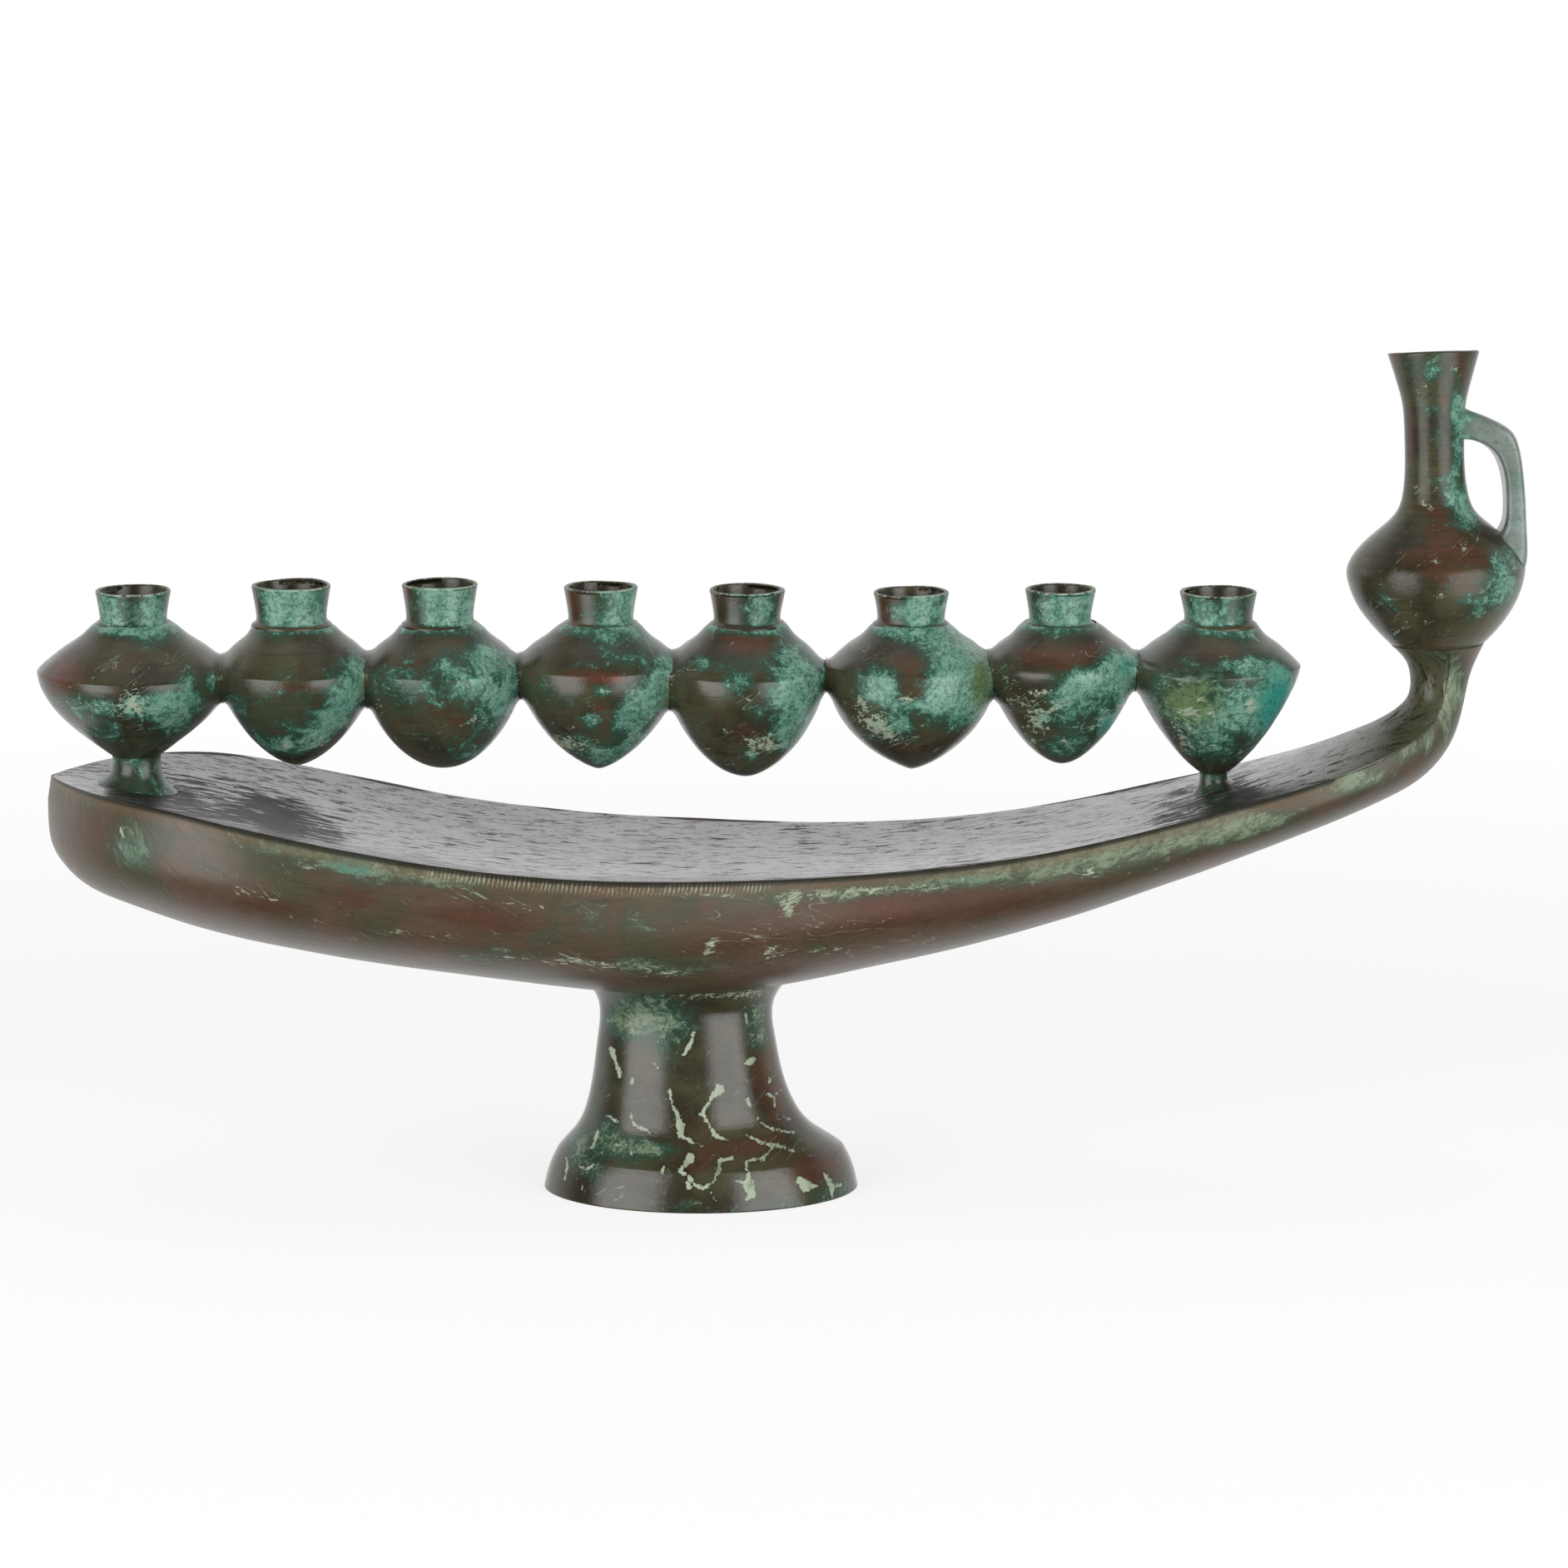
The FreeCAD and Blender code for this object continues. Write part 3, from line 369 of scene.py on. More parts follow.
def hull_point(scene, x, z):
    """A point in the hull's middle plane, from X as a share of its length and Z as a share of its depth."""
    hull = scene.lamp_hull
    return np.stack([x * hull.span, scene.lamp_pedestal.height + z * hull.depth], axis=-1)


def hull_lines(scene):
    """The stations at evenly spread places from bow to tail: deck point, keel point, half breadth, dish,
    side level as a share of the depth, and fullness, each a natural cubic curve through the stations."""
    sizes, jug, table = scene.lamp_hull, scene.lamp_jug, HULL_STATIONS
    stations = np.hstack([hull_point(scene, table[:, 0], table[:, 1]), hull_point(scene, table[:, 2], table[:, 3]),
                          table[:, 4:] * (sizes.half_beam, sizes.dish, 1, 1)])
    lean = math.radians(jug.lean)
    back = np.array([math.cos(lean), math.sin(lean)])
    radius = TAIL_ROUNDS[:, 2:] * jug.foot
    behind = TAIL_EDGE_SHARE * radius
    centre = hull_point(scene, TAIL_ROUNDS[:, 0], TAIL_ROUNDS[:, 1])
    rounds = np.hstack([centre + back * behind, centre + back * radius, np.sqrt(radius ** 2 - behind ** 2),
                        -(radius + behind), -behind / (radius - behind), np.full_like(radius, 2.0)])
    rows = np.vstack([stations, rounds])
    middle = (rows[:, :2] + rows[:, 2:4]) / 2
    knots = np.r_[0, np.cumsum(np.linalg.norm(np.diff(middle, axis=0), axis=1))]
    return curve_through(knots, rows, np.linspace(0, knots[-1], STATIONS))


class HullForm:
    """The hull's sections as whole arrays: deck arc and side curve of every station at once."""

    def __init__(self, scene):
        rows = hull_lines(scene)
        self.deck, keel = rows[:, 0:2], rows[:, 2:4]
        drop = keel - self.deck
        self.depth = np.linalg.norm(drop, axis=1)
        self.down = drop / self.depth[:, None]
        self.breadth = rows[:, 4]
        self.sag = np.where(np.abs(rows[:, 5]) > FLATTEST_DISH, rows[:, 5], FLATTEST_DISH)
        self.level = rows[:, 6] * self.depth
        self.fullness = rows[:, 7]
        self.tip = hull_point(scene, *BOW_TIP)
        self.run = np.r_[0, np.cumsum(np.linalg.norm(np.diff((self.deck + keel) / 2, axis=0), axis=1))]

    def lay(self, across, depth):
        """Points from their distance across and their depth below the deck point, station by station."""
        flat = self.deck[:, None] + self.down[:, None] * depth[..., None]
        return np.stack([flat[..., 0], across, flat[..., 1]], axis=-1)

    def deck_arc(self, share):
        """The deck's arc at shares from -1 to 1: a circle's arc through both edges, with the dish as its
        height."""
        half = 2 * np.arctan(np.abs(self.sag) / self.breadth)[:, None]
        angle = half * share
        across = self.breadth[:, None] * np.sin(angle) / np.sin(half)
        rise = (np.cos(angle) - np.cos(half)) / (1 - np.cos(half))
        return self.lay(across, self.sag[:, None] * rise)

    def side_curve(self, share):
        """Side and bottom at shares from 0 to 1, from one deck edge round the keel to the other: a
        superellipse whose cosine and sine are raised to two over the fullness."""
        below = (self.depth - self.level)[:, None]
        two_over = (2 / self.fullness)[:, None]
        rise = np.abs(self.level[:, None] / below) ** (1 / two_over)
        edge = np.copysign(np.arcsin(rise), self.level[:, None])
        widest = self.breadth[:, None] / np.cos(edge) ** two_over
        angle = -edge + (math.pi + 2 * edge) * share
        cosine, sine = np.cos(angle), np.sin(angle)
        across = widest * np.sign(cosine) * np.abs(cosine) ** two_over
        depth = self.level[:, None] + below * np.sign(sine) * np.abs(sine) ** two_over
        return self.lay(across, depth)


def even_shares(curve, shares):
    """For each station, the points of its curve at even lengths rather than at even parameters."""
    steps = np.linalg.norm(np.diff(curve, axis=1), axis=2)
    run = np.concatenate([np.zeros((len(curve), 1)), np.cumsum(steps, axis=1)], axis=1)
    run /= run[:, -1:]
    parameter = np.linspace(0, 1, curve.shape[1])
    return np.stack([np.interp(shares, r, parameter) for r in run])


def rounded_corner(before, corner, after, count):
    """A quadratic curve from one point to another that is pulled towards the corner between them."""
    t = np.linspace(0, 1, count + 2)[1:-1][None, :, None]
    return (1 - t) ** 2 * before[:, None] + 2 * t * (1 - t) * corner[:, None] + t ** 2 * after[:, None]


def toward(start, end, distance):
    """The point at that distance from start on the way to end, and no further than halfway."""
    way = end - start
    reach = np.linalg.norm(way, axis=-1, keepdims=True)
    return start + way * np.minimum(distance / np.maximum(reach, 1e-9), 0.5)


# Places of the hull's patina, taken from its front: x, y, z, half widths along X and Z, weight, in mm.
HULL_GREEN = [
    (-133, -36, 90, 3.6, 3.2, 0.8), (-144, -24, 99, 2, 1.6, 0.5), (-151, -14, 98, 2.4, 4, 0.3),
    (-125, -40, 95, 8.8, 4, 0.45), (-113, -45, 88, 6.4, 2.8, 0.45), (-107, -45, 96, 4, 1.4, 0.6),
    (-96, -46, 93, 5.5, 1.7, 0.9), (-85, -46, 90, 5.6, 1.9, 1), (-77, -46, 88, 4.8, 2.4, 1.2),
    (-64, -45, 86, 6.4, 1.7, 0.9), (-56, -45, 85, 4.8, 1.3, 0.6), (-43, -42, 67, 8, 1.6, 0.5),
    (-36, -43, 70, 3.2, 1.1, 0.5), (-21, -43, 73, 11.9, 4.5, 0.35), (3, -39, 80, 6, 1.2, 0.5),
    (21, -36, 80, 5, 1.4, 0.7), (33, -35, 79, 5, 1.2, 0.6), (43, -33, 80, 6, 1.2, 0.6),
    (-45, -38, 65, 10, 1.2, 0.6), (53, -32, 81, 5, 1.4, 0.9), (63, -31, 83, 6, 1.6, 0.9), (73, -31, 84, 6, 2, 0.9),
    (81, -30, 86, 6, 2.2, 1), (91, -30, 86, 6, 2.2, 0.9), (101, -29, 89, 6, 2.6, 1.1), (111, -28, 91, 6, 2.6, 1.2),
    (121, -27, 93, 6, 2.4, 1.2), (128, -27, 95, 5, 2.4, 1.3), (-17, -39, 63, 8, 1.6, 0.6),
    (-5, -36, 61, 6, 1.2, 0.5), (130, -26, 95, 11.8, 1.6, 0.8), (150, -24, 104, 11.8, 2, 1.2),
    (166, -16, 111, 7.9, 2.4, 1), (177, -9, 117, 4, 4, 0.5), (181, -5, 122, 2, 4, 0.6), (174, -6, 125, 5, 6, 1.1),
    (182, -6, 127, 2, 2.6, 0.5),
]
HULL_WARM = [
    (-102, -45, 78, 8.7, 2.8, 0.9), (-80, -47, 81, 5.6, 3.2, 0.8), (-55, -45, 77, 8.7, 2.8, 0.9),
    (-119, -39, 77, 6.4, 3.2, 0.45), (-43, -44, 74, 7.2, 2, 0.7), (-73, -38, 66, 16, 3.2, 0.35),
    (-96, -38, 70, 16, 2.4, 0.35), (6, -39, 69, 14, 4, 0.7), (33, -35, 74, 16, 4, 0.9), (55, -32, 76, 13, 4, 0.8),
    (78, -30, 77, 12, 3.4, 0.6), (98, -28, 82, 10, 2.6, 0.45), (-7, -34, 59, 20.1, 1.4, 0.6),
]
HULL_PALE = [
    (-151, -14, 98, 2, 3.2, 0.6), (-151, -17, 88, 1.2, 2, 0.6), (-144, -24, 99, 2.4, 1.6, 0.5),
    (-135, -35, 92, 2.4, 4.8, 0.9), (-96, -47, 92, 4.8, 1.6, 0.7), (-90, -47, 88, 3.2, 1, 0.9),
    (-107, -45, 82, 2.4, 1, 1), (-99, -46, 81, 4, 1.3, 1), (-108, -46, 86, 0.8, 1.1, 0.9),
    (-85, -46, 80, 1.6, 1.6, 0.7), (-89, -45, 75, 5.6, 1, 0.6), (-69, -46, 81, 2, 1.2, 0.7),
    (-55, -45, 81, 3.6, 1.3, 1), (-44, -45, 79, 2.4, 1.6, 0.9), (-38, -44, 78, 2.8, 1.1, 1),
    (-71, -44, 72, 4, 1, 1), (-60, -43, 71, 3.2, 0.8, 1), (-54, -39, 65, 4, 1.3, 0.7),
    (-51, -34, 61, 3.2, 0.8, 0.8), (-36, -43, 69, 4, 1.6, 0.7), (-29, -41, 65, 2.4, 1.4, 1),
    (-34, -38, 63, 3.2, 1, 0.8), (-84, -41, 70, 4.8, 1, 0.5), (-77, -46, 88, 4.8, 1.9, 0.8),
    (-65, -45, 86, 4.8, 1.3, 0.8), (-2, -40, 81, 5, 1, 0.8), (6, -39, 80, 4, 0.9, 0.9), (13, -38, 79, 4, 0.8, 0.8),
    (22, -36, 78, 3.4, 2.2, 1.2), (32, -35, 79, 5, 1.2, 1), (38, -34, 80, 4, 0.8, 0.9), (48, -33, 80, 7, 0.9, 1),
    (58, -32, 82, 6, 1.2, 0.7), (73, -31, 84, 8, 1.4, 0.6), (93, -30, 83, 3.6, 1.6, 1.2),
    (79, -30, 79, 1.6, 1.2, 0.9), (5, -39, 75, 1.4, 1, 0.9), (10, -38, 71, 5, 1.2, 0.9), (21, -37, 75, 1.4, 1.6, 1),
    (32, -34, 71, 4, 1.2, 1), (38, -34, 72, 1.6, 1.4, 0.8), (46, -32, 71, 4, 1.8, 0.6), (3, -38, 67, 1.6, 2.2, 1.1),
    (18, -35, 65, 3.4, 2.2, 1.2), (31, -32, 65, 5, 1.2, 1.1), (42, -29, 65, 1.6, 1.2, 0.8),
    (49, -29, 66, 3, 1.4, 0.7), (58, -25, 66, 4, 0.8, 0.8), (-42, -38, 65, 9, 1, 0.9), (12, -37, 68, 14, 1.6, 0.5),
    (-24, -39, 63, 3, 1, 1), (-16, -37, 62, 5, 1.8, 1), (-6, -35, 60, 5, 1.2, 0.9), (101, -29, 84, 2, 1, 0.7),
    (106, -29, 88, 7, 1.6, 0.5), (121, -27, 92, 7, 1.6, 0.4), (171, -7, 117, 2.4, 1.2, 1),
    (158, -15, 109, 5.9, 1.6, 0.6), (183, -2, 121, 0.8, 1.2, 0.8),
]
HATCHED = [
    (-50, -45, 84, 14, 4, 0.8), (-20, -43, 83, 14, 4, 0.9), (8, -39, 82, 10, 3, 0.6),
]
HULL_TONE = [
    (-133, -36, 90, 5, 4, 0.5), (-148, -18, 96, 5, 6, 0.3), (-96, -46, 93, 5, 2, 0.5), (-80, -46, 89, 6, 3, 0.8),
    (-17, -39, 63, 8, 2, 0.3), (60, -31, 82, 10, 2, 0.5), (150, -24, 104, 12, 3, 0.3), (170, -12, 113, 9, 4, 0.2),
    (180, -5, 124, 4, 6, 0.2),
]
DECK_GREEN = [
    (-132, -5, 104, 4.9, 3.3, 0.6), (-129, -5, 100, 3.3, 1.6, 0.6), (-100, 7, 92, 4.1, 2.1, 0.4),
    (-135, -8, 100, 4.9, 1.6, 0.4), (-63, -33, 87, 4.8, 1, 0.6), (-115, 18, 96, 5, 2.5, 0.25),
    (-74, 7, 87, 3.3, 1.1, 0.3), (-43, 19, 83, 9.9, 3.3, 0.2), (-18, -21, 82, 9.1, 2, 0.3),
    (13, 9, 81, 12.3, 2.1, 0.2), (-8, 17, 81, 10.3, 2.1, 0.2), (124, -6, 98, 3.1, 3.1, 0.6),
    (122, -16, 97, 6.1, 1.2, 0.4),
]
# Dark patches on the deck's front, by the two stems: a painted reflection of the stems and urns in the deck, laid on as
# more of its dull dark dashes.
DECK_PAINTED_REFLECTION = [
    (-129, -15, 98, 11.3, 2.1, 0.9), (-109, -13, 94, 9.7, 2.1, 0.8), (-98, -16, 92, 4.9, 2.1, 0.9),
    (-88, -16, 90, 4, 1.5, 0.6), (119, -21, 96, 11.1, 2.2, 0.9), (129, -24, 99, 3, 3, 0.9),
]


def mirrored(points):
    """The same points, with those of the back laid onto the front."""
    return points * (1, 0, 1) - np.abs(points * (0, 1, 0))


class LAMP_OT_hull(bpy.types.Operator):
    """Builds the hull with its upturned tail, and the dished deck that closes it"""
    bl_idname = "lamp.hull"
    bl_label = "Hull and deck"

    def execute(self, context):
        sizes, form = context.scene.lamp_hull, HullForm(context.scene)
        side = form.side_curve(even_shares(form.side_curve(np.linspace(0, 1, 400)[None]), np.linspace(0, 1, AROUND)))
        share = np.linspace(1, -1, ACROSS)
        arc = form.deck_arc(share[None])
        left, right = side[:, 0], side[:, -1]
        edge = np.minimum(sizes.edge, 0.12 * form.breadth)[:, None]
        deck_right, deck_left = toward(right, arc[:, -2], edge), toward(left, arc[:, 1], edge)
        side_right, side_left = toward(right, side[:, -2], edge), toward(left, side[:, 1], edge)
        corner_right = rounded_corner(side_right, right, deck_right, 4)
        corner_left = rounded_corner(deck_left, left, side_left, 4)
        thin = sizes.plate * (1 - np.abs(share) ** 6)[None] * np.minimum(1, form.breadth / 0.01)[:, None]
        down = np.insert(form.down, 1, 0, axis=1)[:, None]
        top, under = arc.copy(), arc + down * thin[..., None]
        for line in (top, under):
            line[:, 0], line[:, -1] = deck_left, deck_right
        hull = np.concatenate([side_left[:, None], side[:, 1:-1], side_right[:, None], corner_right,
                               deck_right[:, None], under[:, -2:0:-1], deck_left[:, None], corner_left], axis=1)
        deck = np.concatenate([top, under[:, -2:0:-1] + down * 2e-5], axis=1)
        rings, grain = self.close(form, hull)
        front = mirrored(rings)
        fall = self.edge_fall(rings)
        skin("hull_casting", rings, ("hull_shell",), "hull_brass", finish(context, "hull"),
             [spots(front, table) for table in (HULL_GREEN, HULL_WARM, HULL_PALE, HULL_TONE)],
             grain=grain, fall=fall, hatch=spots(front, HATCHED))
        rings, grain = self.close(form, deck)
        tail = np.clip((rings[..., 0] - TAIL_START) / TAIL_FADE, 0, 1)
        # The deck's fourth mask carries the painted reflection of the stems and urns.
        skin("deck_top", rings, ("deck_plate",), "deck_brass", finish(context, "deck"),
             (spots(rings, DECK_GREEN) + 0.35 * tail, 0.25, 0.1, spots(rings, DECK_PAINTED_REFLECTION)), grain=grain, tail=tail)
        return {"FINISHED"}

    def close(self, form, rings):
        """Draws the rings together at the bow's tip and wears them, still at the jug's joint. The grain
        runs along the hull and round its girth."""
        tip = np.array([form.tip[0], 0, form.tip[1]])
        last = rings[-1:] + (rings[-2:-1] - rings[-1:]) * 0.02
        rings = np.concatenate([tip + (rings[:1] - tip) * 0.05, tip + (rings[:1] - tip) * 0.5, rings[:-1], last,
                                rings[-1:]])
        run = np.r_[-0.003, -0.001, form.run[:-1], form.run[-1] - 2e-5, form.run[-1]][:, None]
        rings = worn(rings, HULL_WAVES, outward(rings), np.clip((run[-1] - run) / STILL_END, 0, 1))
        girth = self.girth(rings)
        girth -= girth[:, girth.shape[1] // 4][:, None]
        return rings, np.stack([np.broadcast_to(run, girth.shape), girth, np.zeros_like(girth)], axis=-1)

    def girth(self, rings):
        """How far round its ring each point lies."""
        return np.cumsum(np.linalg.norm(np.diff(rings, axis=1, append=rings[:, :1]), axis=2), axis=1)

    def edge_fall(self, rings):
        """How far below the deck's edge each point lies, in millimetres, and far off on the tail."""
        girth = self.girth(rings)
        fall = np.full(girth.shape, FAR)
        fall[:, :AROUND] = np.minimum(girth[:, :AROUND], girth[:, AROUND - 1:AROUND] - girth[:, :AROUND]) / MM
        fall[:, AROUND:AROUND + 5] = fall[:, -4:] = 0
        return fall + np.clip((rings[..., 0] - EDGE_END) / EDGE_FADE, 0, 1) * FAR


# Pedestal

def ovals(centre_x, half_length, half_depth, height, sides):
    """Level oval rings: x is the centre plus the half length times the sine, y the half depth times the
    negative cosine."""
    angle = np.linspace(0, 2 * math.pi, sides, endpoint=False)
    x = centre_x[:, None] + half_length[:, None] * np.sin(angle)
    y = -half_depth[:, None] * np.cos(angle)
    return np.stack([x, y, np.broadcast_to(height[:, None], x.shape)], axis=-1)


PEDESTAL_GREEN = [
    (-12, -15, 46, 8, 4, 1), (-17, -12, 43, 3.2, 3.4, 0.8), (-20, -10, 41, 2.2, 2.8, 0.4),
    (-6, -16, 43, 3.4, 2.2, 0.5), (-19, -18, 14, 6.2, 2.2, 1), (-11, -21, 14, 3.4, 1, 0.9),
    (-30, -9, 12, 3.4, 2.3, 0.7), (-22, -13, 18, 2.2, 2.2, 0.6), (-26, -7, 20, 1.7, 2.8, 0.3),
    (-20, -12, 27, 1.7, 3.4, 0.3), (14, -8, 44, 2.8, 3.4, 0.6), (15, -8, 37, 2.3, 2.3, 0.5),
    (-27, -17, 8, 3.9, 1.7, 0.6), (-5, -28, 2, 6.7, 1.7, 0.4), (33, -13, 2, 2.8, 1.7, 0.6),
    (20, -24, 1, 11.2, 0.9, 0.5), (-20, -23, 4, 4.5, 1.1, 0.3), (-8, -16, 36, 3.4, 3.4, 0.35),
]
PEDESTAL_WARM = [
    (9, -20, 14, 7.8, 1.7, 0.9), (29, -16, 8, 6.7, 2.8, 1.1), (19, -10, 21, 3.4, 4.5, 0.6),
    (0, -19, 19, 3.4, 2.2, 0.5), (-1, -25, 11, 3.4, 1.7, 0.7), (16, -7, 32, 3.4, 7, 0.9),
    (4, -17, 50, 11.2, 1.1, 0.4), (14, -26, 5, 5, 1.7, 0.4), (2, -17, 29, 3.9, 5, 0.2),
]
PEDESTAL_PALE = [
    (-15, -26, 54, 5, 0.8, 1), (0, -18, 51, 11, 0.9, 1.2), (12, -14, 50, 5, 1, 1.1), (14, -9, 45, 2.2, 2.8, 0.9),
    (-5, -16, 46, 0.9, 0.9, 0.8), (-16, -13, 41, 1.7, 1.3, 0.9), (14, -9, 38, 2.2, 1.7, 0.9),
    (-22, -23, 4, 4.5, 1.7, 0.7), (26, -21, 0, 10.1, 0.9, 0.9), (-27, -16, 9, 2.8, 1.1, 0.7),
    (-5, -28, 2, 5.6, 1.1, 0.4), (19, -16, 14, 5.1, 2.2, 0.6), (17, -8, 28, 1.7, 5.1, 0.5),
    (-13, -16, 24, 11.2, 5, 0.15),
]
# Veins of verdigris, as x, z and half width in mm, seen from the front.
VEINS = [
    [(-21.3, 35.6, 0.9), (-20.5, 33.3, 0.51), (-19.2, 29.7, 0.56)], [(-16.2, 29.2, 0.67), (-16.4, 28.4, 0.51)],
    [(-1.3, 41.5, 0.5), (-2.3, 38.7, 0.73), (-3.7, 35.9, 0.5), (-5.3, 36.5, 0.28)],
    [(-7.3, 27.5, 0.45), (-6.7, 24.2, 0.5), (-5.3, 21.5, 0.78), (-4.7, 19.4, 1.23), (-4.5, 17, 0.73),
     (-1.5, 15.5, 0.34), (0.7, 15, 0.5)],
    [(4.8, 27.5, 1.46), (3.4, 26.2, 0.67), (1.6, 23.7, 0.45), (0.6, 22.1, 0.5), (-1, 21.7, 0.34)],
    [(0.6, 22.1, 0.34), (3, 18.4, 0.39), (3.4, 17.1, 0.67), (6.6, 15.7, 0.39)],
    [(-9.9, 23.2, 0.22), (-7.7, 25.7, 0.28)], [(-16.6, 21.3, 0.34), (-15.6, 18.8, 0.5), (-12.1, 17.4, 0.45)],
    [(-10.9, 33.7, 0.22), (-9.9, 32.3, 0.34)], [(11, 45, 0.45), (11.4, 42.1, 0.51)],
    [(12.4, 33.4, 1.24), (10.6, 33, 0.45)], [(11.4, 24.4, 0.79), (12.2, 22.7, 0.45)],
    [(17, 32.4, 0.34), (16.6, 28.9, 0.45), (16.8, 27.6, 0.51)],
    [(15.8, 25, 0.45), (17.6, 24.2, 0.56), (18, 21.7, 0.28)], [(17.6, 24.2, 0.45), (19.4, 24.9, 0.28)],
    [(13.6, 19.9, 0.34), (15.2, 18.3, 0.28), (18.6, 16.7, 0.28), (22.6, 15.4, 0.34)],
    [(11.4, 16.6, 0.56), (14.4, 14.9, 0.34), (18, 13.9, 0.67), (22.6, 12.2, 0.34)],
    [(18, 13.9, 0.45), (15.2, 11.6, 0.5), (11.4, 11.6, 0.34), (11, 9.7, 0.5)],
    [(15.2, 40.2, 0.56), (13.6, 37.9, 0.45)],
    [(-2.3, 12.3, 1.23), (-4.9, 9.6, 0.33), (-2.9, 8.8, 0.56), (-0.7, 6.6, 0.5), (1.1, 5.9, 0.78),
     (3.1, 7.3, 0.39), (4.5, 9.6, 0.78), (4.7, 12, 0.67), (7.8, 12.1, 0.5)],
    [(-2.7, 6.6, 0.89), (-2.5, 6.2, 0.78)], [(2.7, 5.1, 0.45), (3.7, 3.1, 0.33)],
    [(11.4, 9.3, 0.34), (11.8, 6.5, 1.68), (12.6, 3.7, 1.01), (10.7, 2.9, 0.39)],
    [(11.8, 6.5, 0.56), (8.7, 7.6, 0.33)], [(24, 6.1, 0.9), (25.6, 4.4, 1.46), (28.2, 4.1, 0.39)],
    [(29.8, 6.5, 0.34), (31.6, 3.4, 1.01), (31.8, 0.6, 0.28)], [(31.6, 3.4, 0.45), (34.5, 2.7, 0.34)],
    [(-32.2, 8.9, 0.34), (-32, 7.1, 0.39), (-32.8, 4.2, 0.34)],
    [(-28.9, 8.3, 0.45), (-27.4, 7.7, 0.34), (-25.6, 9.3, 0.39)], [(-8.7, 10.1, 0.56), (-9, 9, 0.45)],
    [(-10.4, 7.7, 0.22), (-10.4, 5.8, 0.22)], [(-28, 4.3, 0.28), (-28.4, 3.3, 0.28)],
    [(-22.1, 19.9, 0.67), (-20, 18.9, 0.45)], [(-24.7, 15.7, 0.68), (-25.7, 12.7, 0.39), (-27.5, 12, 0.28)],
    [(-16.7, 14, 0.34), (-16.3, 12.5, 0.5)], [(-20.4, 13.9, 0.39), (-17.6, 14.2, 0.34)],
    [(18.6, 20.1, 0.23), (21.8, 18.2, 0.28)],
]
PEDESTAL_SIDES = 400
BOLT_BORE = 0.004
CROWN_SHARE, CROWN_HALF = 0.83, 0.40


class LAMP_OT_pedestal(bpy.types.Operator):
    """Builds the hollow oval pedestal on its plinth"""
    bl_idname = "lamp.pedestal"
    bl_label = "Pedestal"

    def execute(self, context):
        sizes = context.scene.lamp_pedestal
        rings = self.rings(sizes)
        seen = rings * np.where(rings[..., 1:2] > 0, (-1, -1, 1), (1, 1, 1))
        masks = [spots(seen, table) for table in (PEDESTAL_GREEN, PEDESTAL_WARM, PEDESTAL_PALE)]
        skin("pedestal_casting", rings, ("pedestal",), "pedestal_brass", finish(context, "pedestal"), masks,
             looped=True, veins=near_lines(seen[..., ::2] / MM, VEINS))
        steel = fastener_finish()
        for node in ("pedestal_bolt", "pedestal_washer"):
            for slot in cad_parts[node].material_slots:
                slot.material = steel
        return {"FINISHED"}

    def rings(self, sizes):
        """Half length, level and shift of plinth, column and crown on two smooth lines, then the bolt's
        bore and the hollow inside, swept round as ovals that turn into circles at the bore."""
        top, rest = sizes.height + sizes.rise, sizes.height - sizes.plinth_height
        column = np.vstack([COLUMN, (CROWN_HALF, 1 + sizes.rise / rest)])
        half = sizes.column + (sizes.plinth - sizes.column) * column[:, 0]
        level = sizes.plinth_height + rest * column[:, 1]
        shift = -sizes.offset * (1 - np.clip(np.where(column[:, 1] > CROWN_SHARE, 0, column[:, 0]), 0, 1))
        upper = smooth_line(np.stack([half, level, shift], axis=1), 90)
        low_half = sizes.plinth + (sizes.foot - sizes.plinth) * PLINTH[:, 0]
        lower = smooth_line(np.stack([low_half, PLINTH[:, 1] * sizes.plinth_height, 0 * low_half], axis=1), 26)
        edge = rounded_corner(lower[None, -2], lower[None, -1], upper[None, 1], 5)[0]
        outer = np.vstack([lower[:-1], edge, upper[1:]])
        ceiling = sizes.height - sizes.crown
        inner = (outer[outer[:, 1] < ceiling - 0.5 * MM] - (sizes.wall, 0, 0))[::-3]
        bore = np.array([(outer[-1, 0] - 2 * MM, top - 0.5 * MM), (BOLT_BORE, top - 4 * MM), (BOLT_BORE, ceiling),
                         (inner[0, 0], ceiling)])
        bore = np.insert(bore, 2, -sizes.offset, axis=1)
        profile = np.vstack([outer, bore, inner, (inner[-1, 0] + 0.2 * MM, 0, 0)])
        profile[:, 1] = np.clip(profile[:, 1], 0, None)
        order, length = np.arange(len(profile)), profile[:, 0]
        round_bore = 1 + (sizes.oval - 1) * np.clip((length - BOLT_BORE) / 0.012, 0, 1)
        depth = length * np.where(order < len(outer), sizes.oval, round_bore)
        depth = np.where(order >= len(outer) + len(bore), (length + sizes.wall) * sizes.oval - sizes.wall, depth)
        rings = ovals(profile[:, 2], length, depth, profile[:, 1], PEDESTAL_SIDES)
        above = np.clip(rings[..., 2:] / 0.004, 0, 1)
        rings = rings + (uneven(rings, 0.03, 11) * 0.00022)[..., None] * np.array([1, 1, 0.6]) * above
        rings[..., 2] = np.where(rings[..., 2] < 4e-6, 0, rings[..., 2])
        return rings


# Urns, necks and stems

